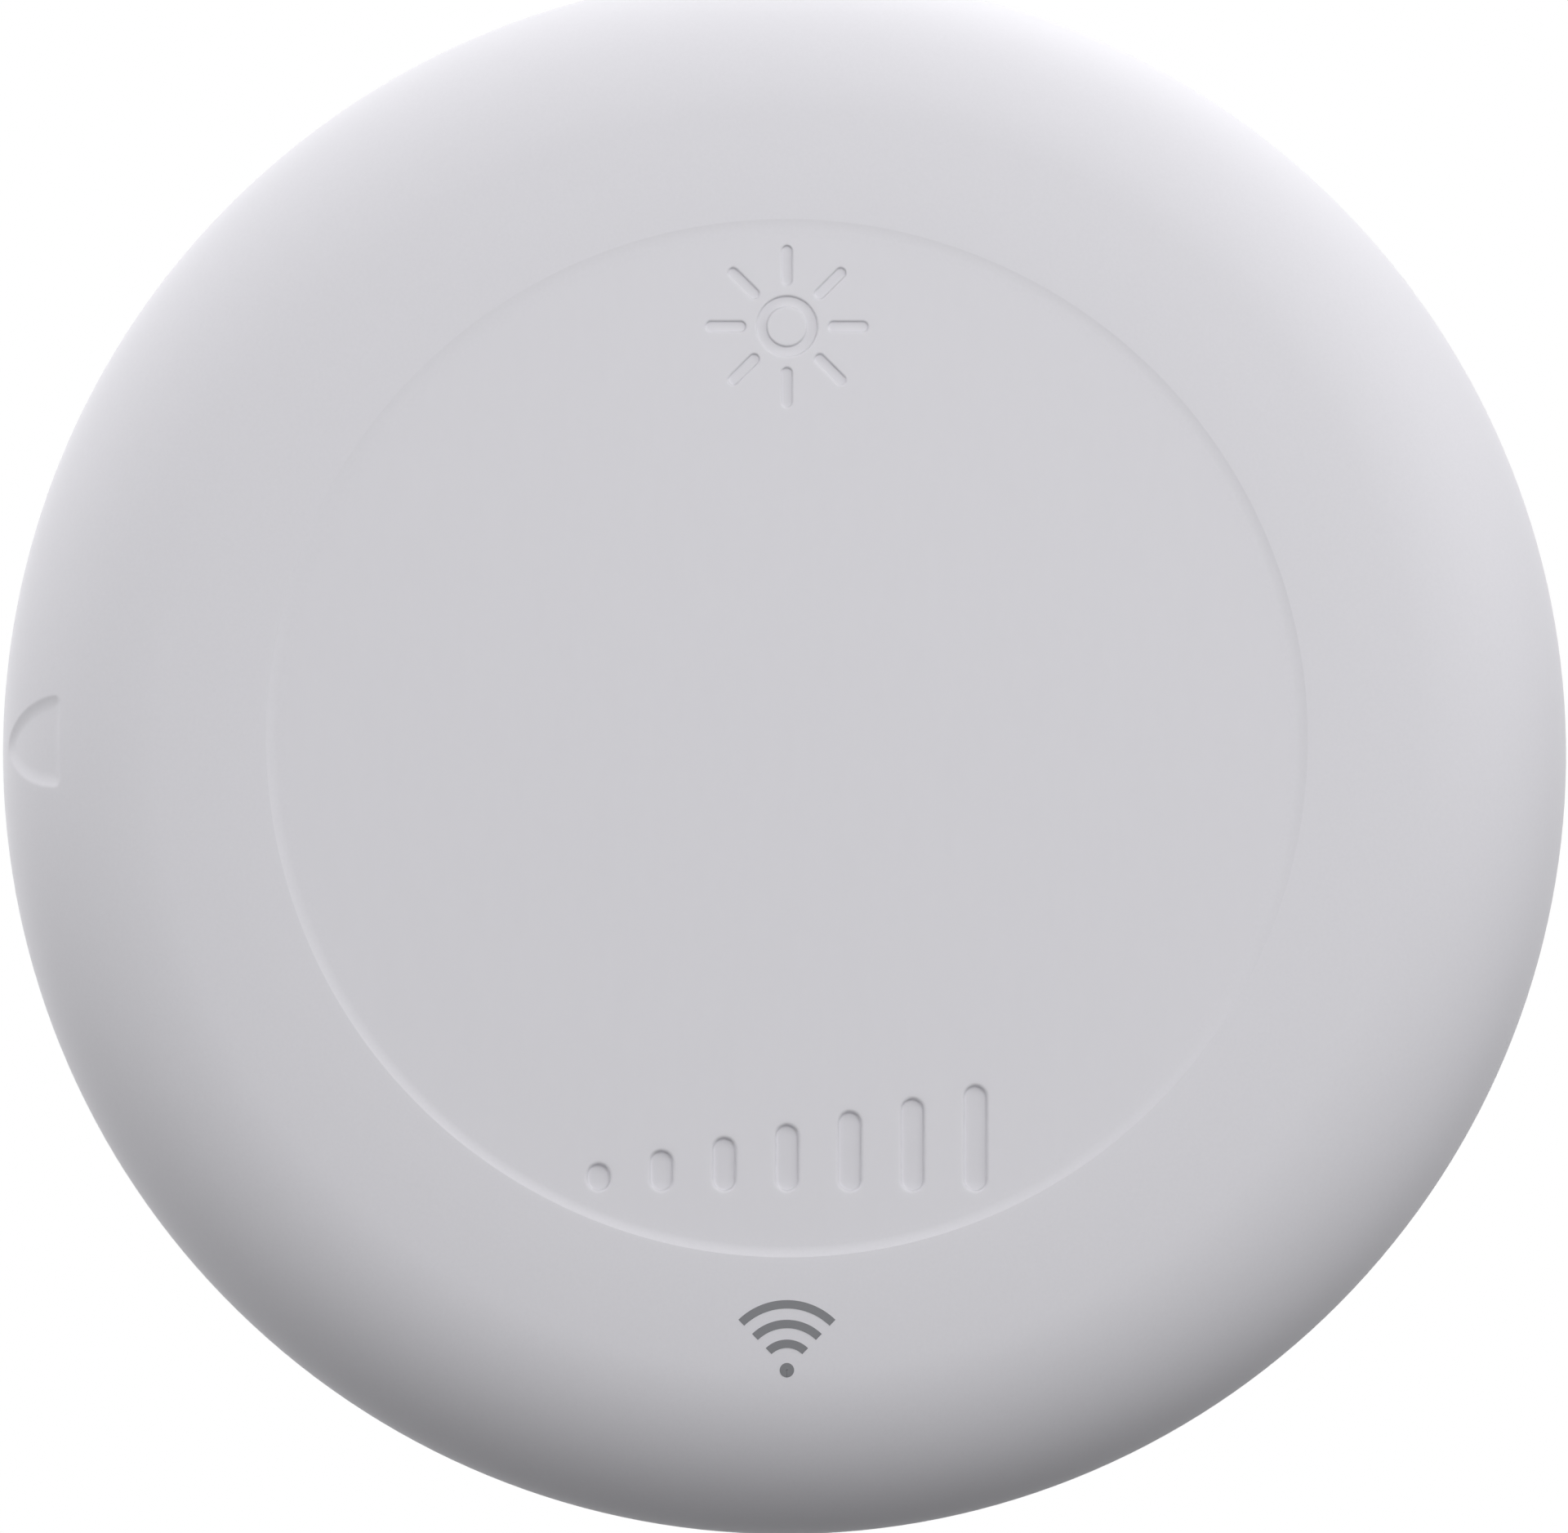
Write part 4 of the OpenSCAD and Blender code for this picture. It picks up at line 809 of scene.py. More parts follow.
def make_cover(context):
    """The cover's skin, with its face, marks, recess and inside in one closed mesh."""
    c, m = in_mm(context.scene.sun_cover), in_mm(context.scene.sun_marks)
    turn = cover_turn()
    outside, inside = cover_section(c)
    skin_points, skin_faces = lathe(np.vstack([outside, inside]), turn)
    skin_points = sink_recess(skin_points, c, m)
    columns = len(turn)
    section = groove_section(m)
    grow = section[0][0]
    ring_out = section + [m.sun_ring, c.face_z]
    ring_in = section[::-1] * [-1, 1] + [m.sun_ring - m.stroke, c.face_z]
    ring = np.vstack([ring_out, ring_in, [[0, c.face_z]]])
    small = even_turn(72)
    centre = (0, m.sun_y)
    bars = sunk_bars(m)
    holes = [turned(stadium(l, w, grow * share), t, p) for l, w, t, p, share in bars]
    holes.append(lathe([[ring[0][0], 0]], small, centre)[0][:, :2])
    rim = skin_points[:columns, :2]
    ceiling_rim = skin_points[-columns:, :2]
    pocket_top = c.ceiling + c.pocket_depth
    pocket = [[c.pocket, c.ceiling], [c.pocket, pocket_top], [0, pocket_top]]
    pocket_points, pocket_faces = lathe(pocket, small, centre)
    patches = [
        (skin_points, skin_faces),
        (*flat_fill(rim, holes, c.face_z), 1),
        (*lathe(ring, small, centre), 1),
        *[(*sunk_bar(bar, section, c.face_z), 1) for bar in bars],
        flat_fill(ceiling_rim, [pocket_points[: len(small), :2]], c.ceiling),
        (pocket_points, pocket_faces),
    ]
    patches = [(lean_face(patch[0], c), *patch[1:]) for patch in patches]
    finishes = ["cover_ring", "cover_face"]
    make_piece("cover_skin", patches, finishes, "cover", 38.0, ["front_cover"])


def make_cover_inside(context):
    """Screw bosses, their ribs and the collar inside the cover."""
    c, m = in_mm(context.scene.sun_cover), in_mm(context.scene.sun_marks)
    boss_end, foot = c.ceiling - c.boss_drop, c.boss_foot + c.boss_round
    boss_rows = [
        [0, c.pilot_top],
        [c.pilot, c.pilot_top],
        [c.pilot, foot],
        [c.pilot + c.boss_round, c.boss_foot],
        *arc((c.boss - c.boss_round, foot), c.boss_round, -90, 0, 3).tolist(),
        [c.boss, boss_end],
        [0, boss_end],
    ]
    rib_l = c.rib_end - c.boss_place - c.rib_start
    rib_flat = rectangle(rib_l, c.rib, (c.rib_start + rib_l / 2, 0))
    bosses, ribs = [], []
    for angle in (45, 135, 225, 315):
        centre = polar(c.boss_place, angle)
        bosses.append(lathe(boss_rows, even_turn(40), centre))
        ribs += prism(turned(rib_flat, angle, centre), c.rib_foot, c.rib_top)
    collar_top = c.ceiling + c.collar_seat
    collar = [
        [c.collar_in, collar_top], [c.collar_in, c.collar_foot], [c.collar_out, c.collar_foot],
        [c.collar_out, collar_top], [c.collar_in, collar_top],
    ]
    collar = [lathe(collar, even_turn(72), (0, m.sun_y))]
    for name, patches in (("bosses", bosses), ("ribs", ribs), ("collar", collar)):
        make_piece("cover_" + name, patches, ["cover_ring"], "cover")


def ring_height(out, c):
    """Height of the ring's outside at a distance from the axis: the crown, and then the roll."""
    crown = c.depth - c.crown + np.sqrt(c.crown**2 - np.maximum(out - c.crown_start, 0) ** 2)
    roll = c.equator + np.sqrt(np.maximum(c.roll**2 - (out - c.roll_centre) ** 2, 0))
    return np.where(out > c.roll_centre + polar(c.roll, ROLL_TOP)[0], roll, crown)


def make_waves(context):
    """Printed mark: a dot and three arcs of waves, as ribbons of ink that follow the ring."""
    c, m = in_mm(context.scene.sun_cover), in_mm(context.scene.sun_marks)
    half = m.waves_stroke / 2
    middles = [m.waves_first + m.waves_pitch * i for i in range(3)]
    shapes = [(0.0, m.waves_dot, 180.0)] + [(r - half, r + half, 44.0) for r in middles]
    patches = []
    for inner, outer, reach in shapes:
        a = np.radians(np.linspace(90 - reach, 90 + reach, 49))
        r = np.linspace(inner, outer, 5)[:, None]
        flat = np.stack([r * np.cos(a), r * np.sin(a) - m.waves_drop], axis=-1)
        ids = np.arange(flat.shape[0] * flat.shape[1]).reshape(flat.shape[:2])
        flat = flat.reshape(-1, 2)
        height = ring_height(np.hypot(*flat.T), c)
        top, base = at_height(flat, height + m.film), at_height(flat, height - m.film)
        faces = quads(*ids.shape, closed=False)
        rim = np.concatenate([ids[0], ids[1:, -1], ids[-1, -2::-1], ids[-2:0:-1, 0]])
        wall = np.vstack([top[rim], base[rim]]), quads(2, len(rim))
        patches += [(top, faces), (base, faces), wall]
    make_piece("printed_waves", patches, ["print_ink"], "cover")


# Wires and cells inside the head


def make_wires(context):
    """Leads, battery springs and antenna as smooth wires along the paths of their solids."""
    w = in_mm(context.scene.sun_wires)
    for name, route, finish in [
        ("positive_lead", POSITIVE_ROUTE, "red_wire"),
        ("negative_lead", NEGATIVE_ROUTE, "black_wire"),
    ]:
        patch = tube(along(route, 10), w.lead, 16, (0.6, -0.6, 0.53))
        make_piece(name + "_insulation", [patch], [finish], "head", replaces=[name])
    spring_turns, spring_steps = 4, 32
    t = np.linspace(0, 1, spring_turns * spring_steps + 1)
    a = 2 * math.pi * spring_turns * t
    seat = w.spring_wire + w.spring_gap
    r = w.spring_base + (w.spring_tip - w.spring_base) * t
    coil = np.stack([seat + (w.spring - 2 * seat) * t, r * np.cos(a), r * np.sin(a)], axis=1)
    patches = []
    for y, side in zip(CELL_ROWS, (1, -1)):
        path = coil * [side, side, 1] + [side * (CONTACT - BAY_HALF), y, CELL_Z]
        patches.append(tube(path, w.spring_wire, 12, (1, 0, 0)))
    make_piece(
        "battery_spring_wires", patches, ["nickel_strip"], "head",
        replaces=["battery_springs"],
    )
    antenna_turns, antenna_steps = 7, 36
    t = np.linspace(0, antenna_turns, antenna_turns * antenna_steps + 1)
    a = 2 * math.pi * t
    r = w.antenna * np.clip(t, 0, 1)
    coil = np.stack([r * np.cos(a), r * np.sin(a), w.antenna_stem + w.antenna_pitch * t], axis=1)
    stem = np.stack([np.zeros(4), np.zeros(4), np.linspace(0, w.antenna_stem, 5)[:4]], axis=1)
    path = np.vstack([stem, coil]) + [*ANTENNA_PLACE, BOARD_TOP]
    patch = tube(path, w.antenna_wire, 12, (0.05, 0.02, -1.0))
    make_piece(
        "antenna_winding", [patch], ["copper_wire"], "head",
        replaces=["antenna_coil"],
    )


# Rows of a cell from its flat end to its nipple, as (radius, height, finish number) in mm: 0 is
# the sleeve, 1 bare steel and 2 the sleeve's band at the nipple end
CELL_PROFILE = [
    (0, 0.0, 1), (3.9, 0.0, 1), (4.1, 0.1, 1), (4.35, 0.1, 0), (4.75, 0.02, 0), (5.1, 0.16, 0),
    (5.24, 0.5, 0), (5.24, 33.2, 0), (5.24, 33.25, 2), (5.24, 43.1, 2), (5.1, 43.42, 2),
    (4.75, 43.58, 2), (4.3, 43.56, 1), (4.1, 43.45, 1), (2.3, 43.45, 1), (1.95, 43.62, 1),
    (1.9, 44.2, 1), (1.75, 44.42, 1), (1.45, CELL_LENGTH, 1), (0, CELL_LENGTH, 1),
]


def make_cells(context):
    """Two cells with a shrunk sleeve over their rims and a bare nipple and base."""
    turn = even_turn(56)
    points, faces = lathe([(r, h) for r, h, _ in CELL_PROFILE], turn)
    patches = []
    for y, side in zip(CELL_ROWS, (1, -1)):
        x = side * (points[:, 2] + BAY_HALF - CONTACT - CELL_LENGTH)
        lie = np.stack([x, points[:, 0] + y, points[:, 1] + CELL_Z], axis=1)
        for k, (_, _, number) in enumerate(CELL_PROFILE[1:]):
            patches.append((lie, faces[k * len(turn) : (k + 1) * len(turn)], number))
    finishes = ["cell_sleeve", "cell_steel", "cell_band"]
    make_piece("cells", patches, finishes, "head", 40.0, ["batteries"])


# Marks on the back


DIAL_PLACE = polar(CONTROL_R, 115)
BUTTON_PLACES = [polar(CONTROL_R, 60), polar(CONTROL_R, 35)]
# The dial's reach to each side in degrees, the steps of its scale, and the steps with a numeral
DIAL_REACH, DIAL_STEPS, NUMERALS = 135, 10, (3, 5, 7)
# Angles of the turn arrow's line, of its head's foot and of its tip
TURN_LINE, TURN_HEAD, TURN_TIP = (-38, -20), -20.1, -15
# The moulded line on the foot: angle, reach into and out of the foot's side, width, and heights
FOOT_LINE_ANGLE, FOOT_LINE_IN, FOOT_LINE_OUT, FOOT_LINE_W = -33, 0.4, 0.3, 0.7
FOOT_LINE_Z = (1.2, 8.2)
# Lower and upper edges of the three boxes on the label
LABEL_ROWS = [(-13.5, -5.5), (-5.5, 2.5), (2.5, 13.5)]


def make_dial_marks(b, low, high):
    """The dial's growing crescent, its ticks and its numerals."""
    share = np.linspace(0, 1, 55)
    a = np.radians(90 + DIAL_REACH * (2 * share - 1))
    inner = b.crescent * np.stack([np.cos(a), np.sin(a)], axis=1)
    outer = inner * (1 + (b.crescent_thin + b.crescent_grow * share) / b.crescent)[:, None]
    patches = prism(np.vstack([inner, outer[::-1]]) + DIAL_PLACE, low, high)
    step = 2 * DIAL_REACH / DIAL_STEPS
    for k in range(DIAL_STEPS + 1):
        ends = [polar(r, 90 + DIAL_REACH - step * k) for r in (b.tick_from, b.tick_to)]
        patches += prism(ribbon(ends + DIAL_PLACE, b.tick), low, high)
    for k in NUMERALS:
        centre = DIAL_PLACE + polar(b.numeral_place, 90 - DIAL_REACH + step * k)
        patches.append(numeral(str(k), b.numeral, centre, high, low))
    return patches


def make_back_marks(context):
    """Printed marks on the back: the dial's scale, rings and dots at the buttons, arrows for the
    turn and the door, the label's lines, and the foot's moulded line."""
    b = in_mm(context.scene.sun_back)
    low, high = BACK - b.proud, BACK + b.seat
    patches = make_dial_marks(b, low, high)
    for count, place_at in enumerate(BUTTON_PLACES, 1):
        rings = [circle(place_at, radius, 64) for radius in (b.ring, b.ring - b.ring_line)]
        patches += frame_line(*rings, low, high)
        for k in range(count):
            spot = place_at + (b.dot_out + b.dot_pitch * k, b.dot_up)
            patches += prism(circle(spot, b.dot, 20), low, high)
    patches += prism(ribbon(arc((0, 0), b.turn, *TURN_LINE, 14), b.turn_line), low, high)
    wing = [
        polar(b.turn + b.turn_wing, TURN_HEAD), polar(b.turn, TURN_TIP),
        polar(b.turn - b.turn_wing, TURN_HEAD),
    ]
    patches += prism(wing, low, high)
    make_piece("back_marks", patches, ["back_ink"], "head", 30.0)
    head = [[-b.door_wing, -b.door_wing_y], [b.door_wing, -b.door_wing_y], [0, -b.door_tip_y]]
    door = prism(head, low, high)
    door += prism(rectangle(b.door_stem, b.door_stem_l, (0, -b.door_stem_y)), low, high)
    make_piece("door_arrow", door, ["back_ink"], "door", 30.0)
    ends = [polar(r, FOOT_LINE_ANGLE) for r in (FOOT_R - FOOT_LINE_IN, FOOT_R + FOOT_LINE_OUT)]
    line = prism(ribbon(ends, FOOT_LINE_W), *FOOT_LINE_Z)
    make_piece("foot_line", line, ["foot_grey"], "foot", 30.0)
    lines = []
    for bottom, top in LABEL_ROWS:
        edges = [
            rectangle(b.label_w + grow, top - bottom + grow, (LABEL_X, (bottom + top) / 2))
            for grow in (b.label_line, -b.label_line)
        ]
        lines += frame_line(*edges, *LABEL_TOP)
    make_piece("label_lines", lines, ["print_ink"], "head", 30.0)


# Details on the circuit board


# Chip parts: place in radii of the board, and whether the part lies along x
PARTS = [
    (-0.33, 0.46, 0), (-0.26, 0.46, 0), (-0.19, 0.46, 0), (-0.12, 0.25, 1), (-0.12, 0.19, 1),
    (-0.33, 0.05, 0), (-0.26, 0.05, 0), (-0.19, 0.05, 0), (-0.52, 0.26, 1), (-0.52, 0.2, 1),
    (0.13, 0.36, 1), (0.13, 0.29, 1), (0.13, 0.22, 1), (0.42, 0.06, 0), (0.5, 0.06, 0),
    (0.6, -0.1, 1), (0.6, -0.17, 1), (0.1, -0.2, 0), (0.18, -0.2, 0), (0.26, -0.2, 0),
    (-0.3, -0.24, 0), (-0.38, -0.24, 0), (0.18, 0.66, 0), (0.26, 0.66, 0),
]
# Shares of a chip part's length: its body, each cap, and the caps' distance from the middle
BODY_SHARE, CAP_SHARE, CAP_PLACE = 0.56, 0.24, 0.38
CAP_CORNER = 0.07
# Pads under a chip part: length, width and distance from its middle
PART_PAD = (0.8, 1.5, 1.05)
# Printed box round a chip part: length, width, line, outer and inner corner
PART_BOX = (3.4, 2.0, 0.12, 0.15, 0.05)
# Pads of the chip's legs: length, width and distance from the chip's middle
LEG_PAD = (1.5, 0.42, 4.35)
# Pads along the radio's edges: length, width, distance from its middle, and pitch
RADIO_PAD = (1.5, 0.75, 8.05, 1.3)
# Printed boxes: centre, width and height
BOXES = [(CHIP, 11.4, 11.4), (RADIO, 18.6, 14.6), (SWITCHES, 7.2, 13.6)]
# Line, outer and inner corner of those boxes
BOX_LINE = (0.15, 0.3, 0.15)
# Radii of the printed ring round a lead's solder
LEAD_RING = (1.95, 1.8)


def laid(size, across):
    """A length and a width as sizes along x and y, for a part that lies along x or along y."""
    return size if across else size[::-1]


def make_chip_parts(context):
    """Small resistors and capacitors: a ceramic block with a tinned cap at each end."""
    b = in_mm(context.scene.sun_board)
    patches = []
    for index, (x, y, across) in enumerate(PARTS):
        centre = np.array([x, y]) * BOARD_R
        body = 0 if index % 3 else 2
        rows = [(0, BODY_SHARE, b.cap_stand, 0.0, body)]
        rows += [(side, CAP_SHARE, 0.0, CAP_CORNER, 1) for side in (-1, 1)]
        for side, share, less, corner, number in rows:
            size = laid((share * b.part_l, b.part_w - less), across)
            shift = laid((CAP_PLACE * b.part_l * side, 0), across)
            outline = rectangle(*size, centre + shift, corner)
            block = prism(outline, BOARD_TOP, BOARD_TOP + b.part_h - less)
            patches += [(*patch, number) for patch in block]
    finishes = ["ceramic_tan", "tinned_pads", "ceramic_black"]
    make_piece("chip_parts", patches, finishes, "head", 30.0, ["chip_components"])


def track_routes(b, k):
    """Routes of the four tracks that leave the chip at leg number k of each side. The first one
    climbs at 45 degrees to the radio's edge, and the others turn away from the chip's legs."""
    step = (k - 3.5) * b.leg_pitch
    start = np.array([CHIP[0] + b.legs_out, CHIP[1] + step])
    goal = np.array([RADIO[0] - 8.6, RADIO[1] - 4.2 + 1.2 * k])
    middle = start + [2.0 + 0.55 * (7 - k), 0]
    rise = goal[1] - start[1]
    end_x = max(goal[0], middle[0] + abs(rise) + 0.5)
    yield [start, middle, middle + [abs(rise), rise], [end_x, goal[1]]]
    away = [
        ((step, -b.legs_out), (0, -1.0 - 0.5 * k), (-1.5, -2.5 - 0.5 * k), (-1.5, -9.0)),
        ((step, b.legs_out), (0, 1.0 + 0.4 * k), (2.0, 3.0 + 0.4 * k), (2.0, 10.0)),
        ((-b.legs_out, step), (-1.2 - 0.4 * k, 0), (-3.0 - 0.4 * k, -1.8), (-8.0, -1.8)),
    ]
    for leg, *bends in away:
        yield np.add(CHIP, leg) + [(0, 0), *bends]


def make_board_detail(context):
    """Copper tracks under the mask, tinned pads and white printed outlines on the board."""
    b = in_mm(context.scene.sun_board)
    low = BOARD_TOP - b.seat
    tracks, pads, prints = [], [], []

    def box(size, centre, line, outer, inner):
        """Prints a box with round corners."""
        edge = rectangle(*size, centre, outer)
        hole = rectangle(size[0] - 2 * line, size[1] - 2 * line, centre, inner)
        prints.extend(frame_line(edge, hole, low, BOARD_TOP + b.print_film))

    def pad(size, centre, corner, film):
        """Adds a tinned pad."""
        pads.extend(prism(rectangle(*size, centre, corner), low, BOARD_TOP + film))

    for k in range(8):
        for route in track_routes(b, k):
            tracks += prism(ribbon(route, b.track), low, BOARD_TOP + b.track_film)
    for x, y, across in PARTS:
        centre = np.array([x, y]) * BOARD_R
        for side in (-1, 1):
            shift = laid((side * PART_PAD[2], 0), across)
            pad(laid(PART_PAD[:2], across), centre + shift, 0.1, b.pad_film)
        box(laid(PART_BOX[:2], across), centre, *PART_BOX[2:])
    for quarter in range(4):
        for k in range(8):
            spot = turned([[LEG_PAD[2], (k - 3.5) * b.leg_pitch]], 90 * quarter, CHIP)[0]
            pad(laid(LEG_PAD[:2], quarter % 2 == 0), spot, 0.08, b.leg_film)
    for side in (-1, 1):
        for k in range(9):
            spot = (RADIO[0] + side * RADIO_PAD[2], RADIO[1] + (k - 4) * RADIO_PAD[3])
            pad(RADIO_PAD[:2], spot, 0.12, b.radio_film)
    top = BOARD_TOP + b.cone_h
    cone = [
        (0, top), (0.62, top), (0.8, BOARD_TOP + b.cone_h / 2),
        (1.4, BOARD_TOP + b.leg_film), (b.cone, low), (0, low),
    ]
    for route in (POSITIVE_ROUTE, NEGATIVE_ROUTE):
        spot = route[-1][:2]
        pads.append(lathe(cone, even_turn(28), spot))
        rings = [circle(spot, radius, 40) for radius in LEAD_RING]
        prints += frame_line(*rings, low, BOARD_TOP + b.print_film)
    for centre, wide, tall in BOXES:
        box((wide, tall), centre, *BOX_LINE)
    make_piece("board_tracks", tracks, ["board_tracks"], "head", 30.0)
    make_piece("board_pads", pads, ["tinned_pads"], "head", 30.0)
    make_piece("board_print", prints, ["board_print"], "head", 30.0)


# Copies of the solids with rounded edges: (node, round in mm, finish, body)
SOFT_PIECES = [
    ("wall_foot", 0.3, "foot_grey", "foot"),
    ("rear_shell", 0.2, "shell_grey", "head"),
    ("battery_door", 0.2, "shell_grey", "door"),
    ("cover_screws", 0.12, "screw_steel", "head"),
    ("board_screws", 0.1, "screw_steel", "head"),
    ("contact_link", 0.06, "nickel_strip", "head"),
    ("contact_positive", 0.06, "nickel_strip", "head"),
    ("contact_negative", 0.06, "nickel_strip", "head"),
    ("circuit_board", 0.1, "board_green", "head"),
    ("light_sensor", 0.08, "ceramic_tan", "head"),
    ("light_guide", 0.15, "clear_rod", "head"),
    ("guide_holder", 0.2, "black_moulding", "head"),
    ("processor_chip", 0.05, "chip_black", "head"),
    ("radio_board", 0.05, "board_green", "head"),
    ("radio_shield", 0.2, "tinned_can", "head"),
    ("crystal", 0.15, "tinned_can", "head"),
    ("capacitor", 0.1, "capacitor_sleeve", "head"),
    ("potentiometer", 0.2, "trimmer_blue", "head"),
    ("threshold_dial", 0.15, "control_white", "dial"),
    ("status_leds", 0.08, "led_epoxy", "head"),
    ("led_windows", 0.15, "clear_rod", "head"),
    ("switch_bodies", 0.15, "black_moulding", "head"),
    ("program_button", 0.25, "button_grey", "program"),
    ("program_stem", 0.1, "chip_black", "program"),
    ("mode_button", 0.25, "button_grey", "mode"),
    ("mode_stem", 0.1, "chip_black", "mode"),
    ("vent_plug", 0.2, "black_rubber", "head"),
    ("rating_label", 0.03, "label_film", "head"),
]


# The stage


# Lamps: name, turn and height in degrees, distance and width in metres, radiance
LAMPS = [
    ("lamp_left_low", -60, -12, 0.6, 0.24, 2.548),
    ("lamp_right_high", 75, 25, 0.6, 0.4, 1.922),
    ("lamp_front_right", 30, 10, 0.6, 0.6, 1.701),
    ("lamp_behind_top", 180, 70, 0.6, 0.6, 1.341),
    ("lamp_left_high", -90, 40, 0.6, 0.6, 1.254),
    ("lamp_behind_right_high", 130, 60, 0.6, 0.6, 1.042),
    ("lamp_front_high", 0, 35, 0.3, 0.2, 0.945),
    ("lamp_left_level", -90, 0, 0.6, 0.6, 0.883),
    ("lamp_behind_left", -130, 20, 0.6, 0.6, 0.686),
    ("lamp_front_level", 0, 10, 0.6, 0.6, 0.581),
    ("lamp_front_left_high", -40, 35, 0.3, 0.2, 0.292),
    ("lamp_behind_right", 130, 20, 0.6, 0.6, 0.173),
    ("lamp_behind_high", 180, 45, 0.6, 0.6, 0.117),
    ("lamp_back_right", 150, 20, 0.6, 0.6, 0.3),
    ("lamp_back_left", -150, 10, 0.6, 0.6, 0.3),
]
WORLD_DIM = 0.015
# Share of light that the floor throws back on the object
FLOOR_BOUNCE = 0.12
# Distances in metres between which the floor melts into white, and the floor's width
FLOOR_FADE = (0.2, 0.55)
FLOOR_WIDTH = 24.0


def direction(azimuth, elevation):
    """Unit vector from the object towards a lamp or camera, from two angles in radians."""
    level = math.cos(elevation)
    return Vector((math.sin(azimuth) * level, -math.cos(azimuth) * level, math.sin(elevation)))


def make_lamp(name, azimuth, elevation, distance, size, radiance):
    """A square soft lamp that faces the object. Its power is pi times its area times its radiance,
    as a plain glowing panel gives out."""
    back = direction(math.radians(azimuth), math.radians(elevation))
    data = bpy.data.lights.new(name, "AREA")
    data.shape = "SQUARE"
    data.size = size
    data.energy = math.pi * size * size * radiance
    lamp = bpy.data.objects.new(name, data)
    lamp.location = back * distance
    lamp.rotation_euler = (-back).to_track_quat("-Z", "Y").to_euler()
    lamp.visible_camera = False
    bpy.context.scene.collection.objects.link(lamp)


def make_camera(stage, equator):
    """Long-lens camera at the photograph's angle, aimed so that the housing fills the frame."""
    data = bpy.data.cameras.new("front_camera")
    data.lens = stage.lens
    data.sensor_width = 36.0
    data.clip_start, data.clip_end = 0.1, 20.0
    camera = bpy.data.objects.new("front_camera", data)
    bpy.context.scene.collection.objects.link(camera)
    back = direction(stage.azimuth, stage.elevation)
    eye = Vector((0, -equator, 0)) + back * stage.distance
    aim = Vector((stage.aim_x, -equator, stage.aim_y))
    camera.location = eye
    camera.rotation_euler = (aim - eye).to_track_quat("-Z", "Y").to_euler()
    bpy.context.scene.camera = camera


def seen_directly(tree):
    """1 for what the camera, metal and glass see, 0 for light that bounces off matt surfaces."""
    path = add_node(tree, "ShaderNodeLightPath").outputs
    seen = path["Is Camera Ray"]
    for other in ("Is Glossy Ray", "Is Transmission Ray"):
        inputs = {0: seen, 1: path[other]}
        seen = add_node(tree, "ShaderNodeMath", inputs, operation="MAXIMUM").outputs[0]
    return seen


def make_floor(drop):
    """Pale floor: it keeps the object's shadow near the object and melts into white further out."""
    mesh = bpy.data.meshes.new("floor")
    corners = [(*corner, -drop) for corner in rectangle(FLOOR_WIDTH, FLOOR_WIDTH, (0, 0))]
    mesh.from_pydata(corners, [], [(0, 1, 2, 3)])
    # Pale matt painted board, with a barely visible mottle.
    painted = grained("stage_board_painted", linear("#EDEDEF"), 40.0, 0.01, 0.01, 0.8)
    tree = painted.tree
    far = add_node(tree, "ShaderNodeVectorMath", {0: painted.place_on}, operation="LENGTH")
    fade = add_node(
        tree, "ShaderNodeMapRange",
        {"Value": far.outputs["Value"], "From Min": FLOOR_FADE[0], "From Max": FLOOR_FADE[1]},
        interpolation_type="SMOOTHSTEP",
    )
    white = add_node(tree, "ShaderNodeEmission", {"Color": (1, 1, 1, 1), "Strength": 1.0})
    tone = (FLOOR_BOUNCE, FLOOR_BOUNCE, FLOOR_BOUNCE, 1)
    grey = add_node(tree, "ShaderNodeBsdfDiffuse", {"Color": tone})
    # A camera under the floor sees through it.
    below = add_node(
        tree, "ShaderNodeMath",
        {
            0: add_node(tree, "ShaderNodeNewGeometry").outputs["Backfacing"],
            1: add_node(tree, "ShaderNodeLightPath").outputs["Is Camera Ray"],
        },
        operation="MULTIPLY",
    )
    clear = add_node(tree, "ShaderNodeBsdfTransparent")
    kind = "ShaderNodeMixShader"
    inputs = {0: fade.outputs[0], 1: painted.shader.outputs[0], 2: white.outputs[0]}
    shown = add_node(tree, kind, inputs)
    inputs = {0: seen_directly(tree), 1: grey.outputs[0], 2: shown.outputs[0]}
    mixed = add_node(tree, kind, inputs)
    inputs = {0: below.outputs[0], 1: mixed.outputs[0], 2: clear.outputs[0]}
    mixed = add_node(tree, kind, inputs)
    tree.links.new(mixed.outputs[0], tree.nodes["Material Output"].inputs["Surface"])
    mesh.materials.append(painted.material)
    floor = bpy.data.objects.new("floor", mesh)
    bpy.context.scene.collection.objects.link(floor)


def make_world():
    """White for what the camera, metal and glass see, and dim for matt surfaces."""
    world = bpy.data.worlds.new("studio")
    world.use_nodes = True
    tree = world.node_tree
    tree.nodes.clear()
    seen = seen_directly(tree)
    dim, white = (
        add_node(tree, "ShaderNodeBackground", {"Color": (1, 1, 1, 1), "Strength": s}).outputs[0]
        for s in (WORLD_DIM, 1.0)
    )
    mixed = add_node(tree, "ShaderNodeMixShader", {0: seen, 1: dim, 2: white}).outputs[0]
    add_node(tree, "ShaderNodeOutputWorld", {"Surface": mixed})
    bpy.context.scene.world = world


# Operators, panel and registration


class SUNSENSOR_OT_finishes(bpy.types.Operator):
    """Makes the finishes of all pieces"""

    bl_idname = "sunsensor.finishes"
    bl_label = "Finishes"

    def execute(self, context):
        make_finishes(context.scene.sun_colours)
        return {"FINISHED"}


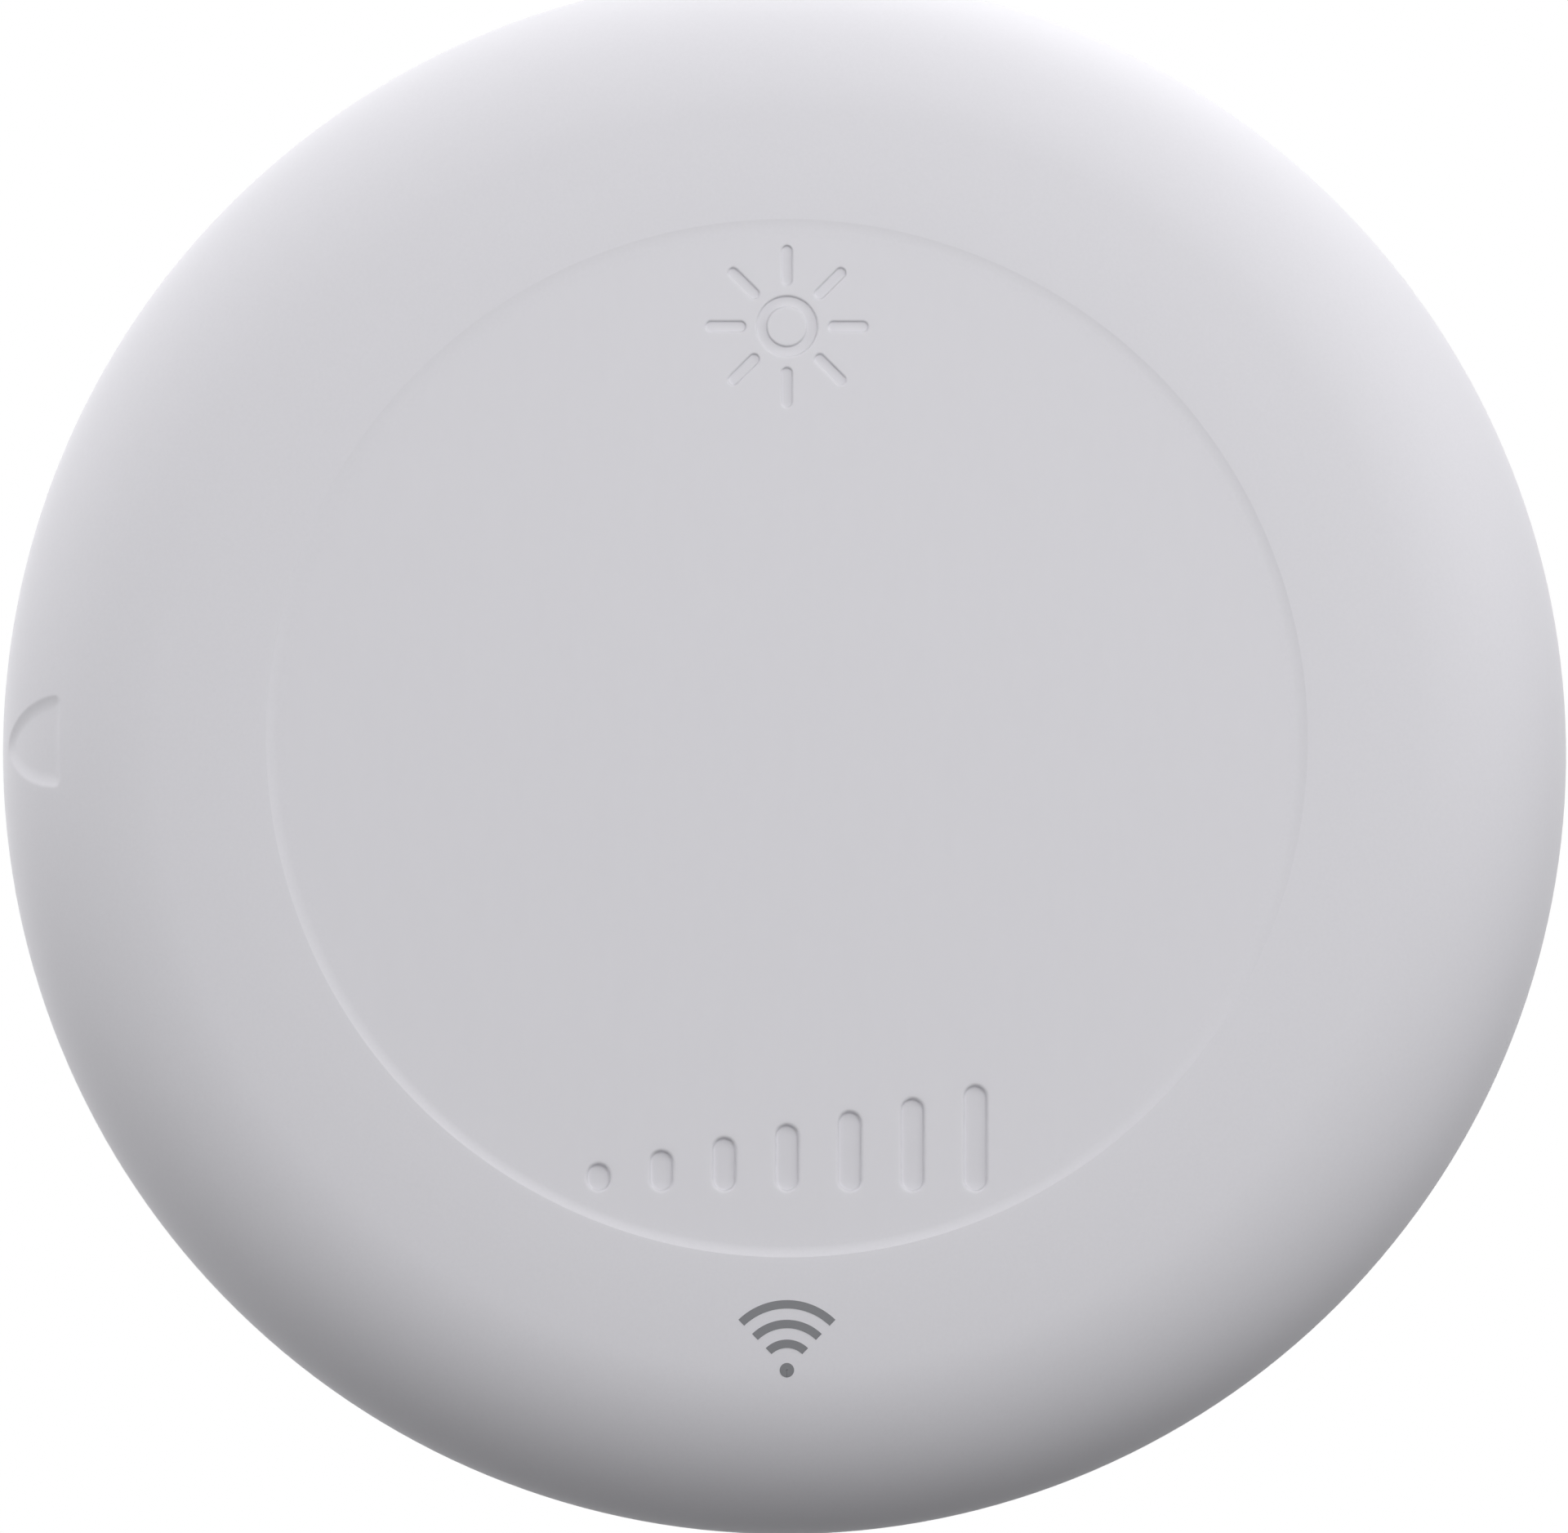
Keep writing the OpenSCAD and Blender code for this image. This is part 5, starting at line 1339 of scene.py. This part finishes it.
class SUNSENSOR_OT_cover(bpy.types.Operator):
    """Makes the front cover's skin and what stands inside it"""

    bl_idname = "sunsensor.cover"
    bl_label = "Front cover"

    def execute(self, context):
        make_cover(context)
        make_cover_inside(context)
        return {"FINISHED"}


class SUNSENSOR_OT_waves(bpy.types.Operator):
    """Prints the waves mark on the ring"""

    bl_idname = "sunsensor.waves"
    bl_label = "Printed waves"

    def execute(self, context):
        make_waves(context)
        return {"FINISHED"}


class SUNSENSOR_OT_wires(bpy.types.Operator):
    """Makes the leads, the battery springs and the antenna"""

    bl_idname = "sunsensor.wires"
    bl_label = "Wires and springs"

    def execute(self, context):
        make_wires(context)
        return {"FINISHED"}


class SUNSENSOR_OT_moulded(bpy.types.Operator):
    """Rounds the edges of the other pieces and gives the seal its finish"""

    bl_idname = "sunsensor.moulded"
    bl_label = "Other pieces"

    def execute(self, context):
        for piece in SOFT_PIECES:
            soften(*piece)
        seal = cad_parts["seal_ring"].data
        seal.materials.clear()
        seal.materials.append(FINISHES["black_rubber"])
        return {"FINISHED"}


class SUNSENSOR_OT_back_marks(bpy.types.Operator):
    """Prints the marks on the back and on the label"""

    bl_idname = "sunsensor.back_marks"
    bl_label = "Back marks"

    def execute(self, context):
        make_back_marks(context)
        return {"FINISHED"}


class SUNSENSOR_OT_cells(bpy.types.Operator):
    """Makes the two cells"""

    bl_idname = "sunsensor.cells"
    bl_label = "Cells"

    def execute(self, context):
        make_cells(context)
        return {"FINISHED"}


class SUNSENSOR_OT_board(bpy.types.Operator):
    """Makes the chip parts, the tracks, the pads and the print of the board"""

    bl_idname = "sunsensor.board"
    bl_label = "Board details"

    def execute(self, context):
        make_chip_parts(context)
        make_board_detail(context)
        return {"FINISHED"}


class SUNSENSOR_OT_stage(bpy.types.Operator):
    """Sets up the camera, the lamps, the floor and the world"""

    bl_idname = "sunsensor.stage"
    bl_label = "Stage"

    def execute(self, context):
        stage = context.scene.sun_stage
        make_camera(stage, context.scene.sun_cover.equator)
        for *place_at, radiance in LAMPS:
            make_lamp(*place_at, radiance * stage.level)
        make_floor(stage.floor_drop)
        make_world()
        context.scene.view_settings.view_transform = "Standard"
        return {"FINISHED"}


class SUNSENSOR_PT_panel(bpy.types.Panel):
    """Lists the steps that dress the sun sensor"""

    bl_label = "Sun Sensor"
    bl_idname = "SUNSENSOR_PT_panel"
    bl_space_type = "VIEW_3D"
    bl_region_type = "UI"
    bl_category = "Sun Sensor"

    def draw(self, context):
        for step in STEPS:
            self.layout.operator(step.bl_idname)


GROUPS = [
    ("sun_cover", CoverSizes), ("sun_marks", MarkSizes), ("sun_wires", WireSizes),
    ("sun_back", BackSizes), ("sun_board", BoardSizes), ("sun_colours", FinishColours),
    ("sun_stage", StageSettings),
]
STEPS = [
    SUNSENSOR_OT_stage, SUNSENSOR_OT_finishes, SUNSENSOR_OT_cover, SUNSENSOR_OT_waves,
    SUNSENSOR_OT_wires, SUNSENSOR_OT_moulded, SUNSENSOR_OT_back_marks, SUNSENSOR_OT_cells,
    SUNSENSOR_OT_board,
]


def register():
    for name, group in GROUPS:
        bpy.utils.register_class(group)
        setattr(bpy.types.Scene, name, PointerProperty(type=group))
    for made in [*STEPS, SUNSENSOR_PT_panel]:
        bpy.utils.register_class(made)


def unregister():
    for made in [SUNSENSOR_PT_panel, *reversed(STEPS)]:
        bpy.utils.unregister_class(made)
    for name, group in reversed(GROUPS):
        delattr(bpy.types.Scene, name)
        bpy.utils.unregister_class(group)


def main():
    """Dresses the solids step by step."""
    register()
    for step in STEPS:
        space, action = step.bl_idname.split(".")
        getattr(getattr(bpy.ops, space), action)()
    bpy.context.view_layer.update()


if __name__ == "__main__":
    main()
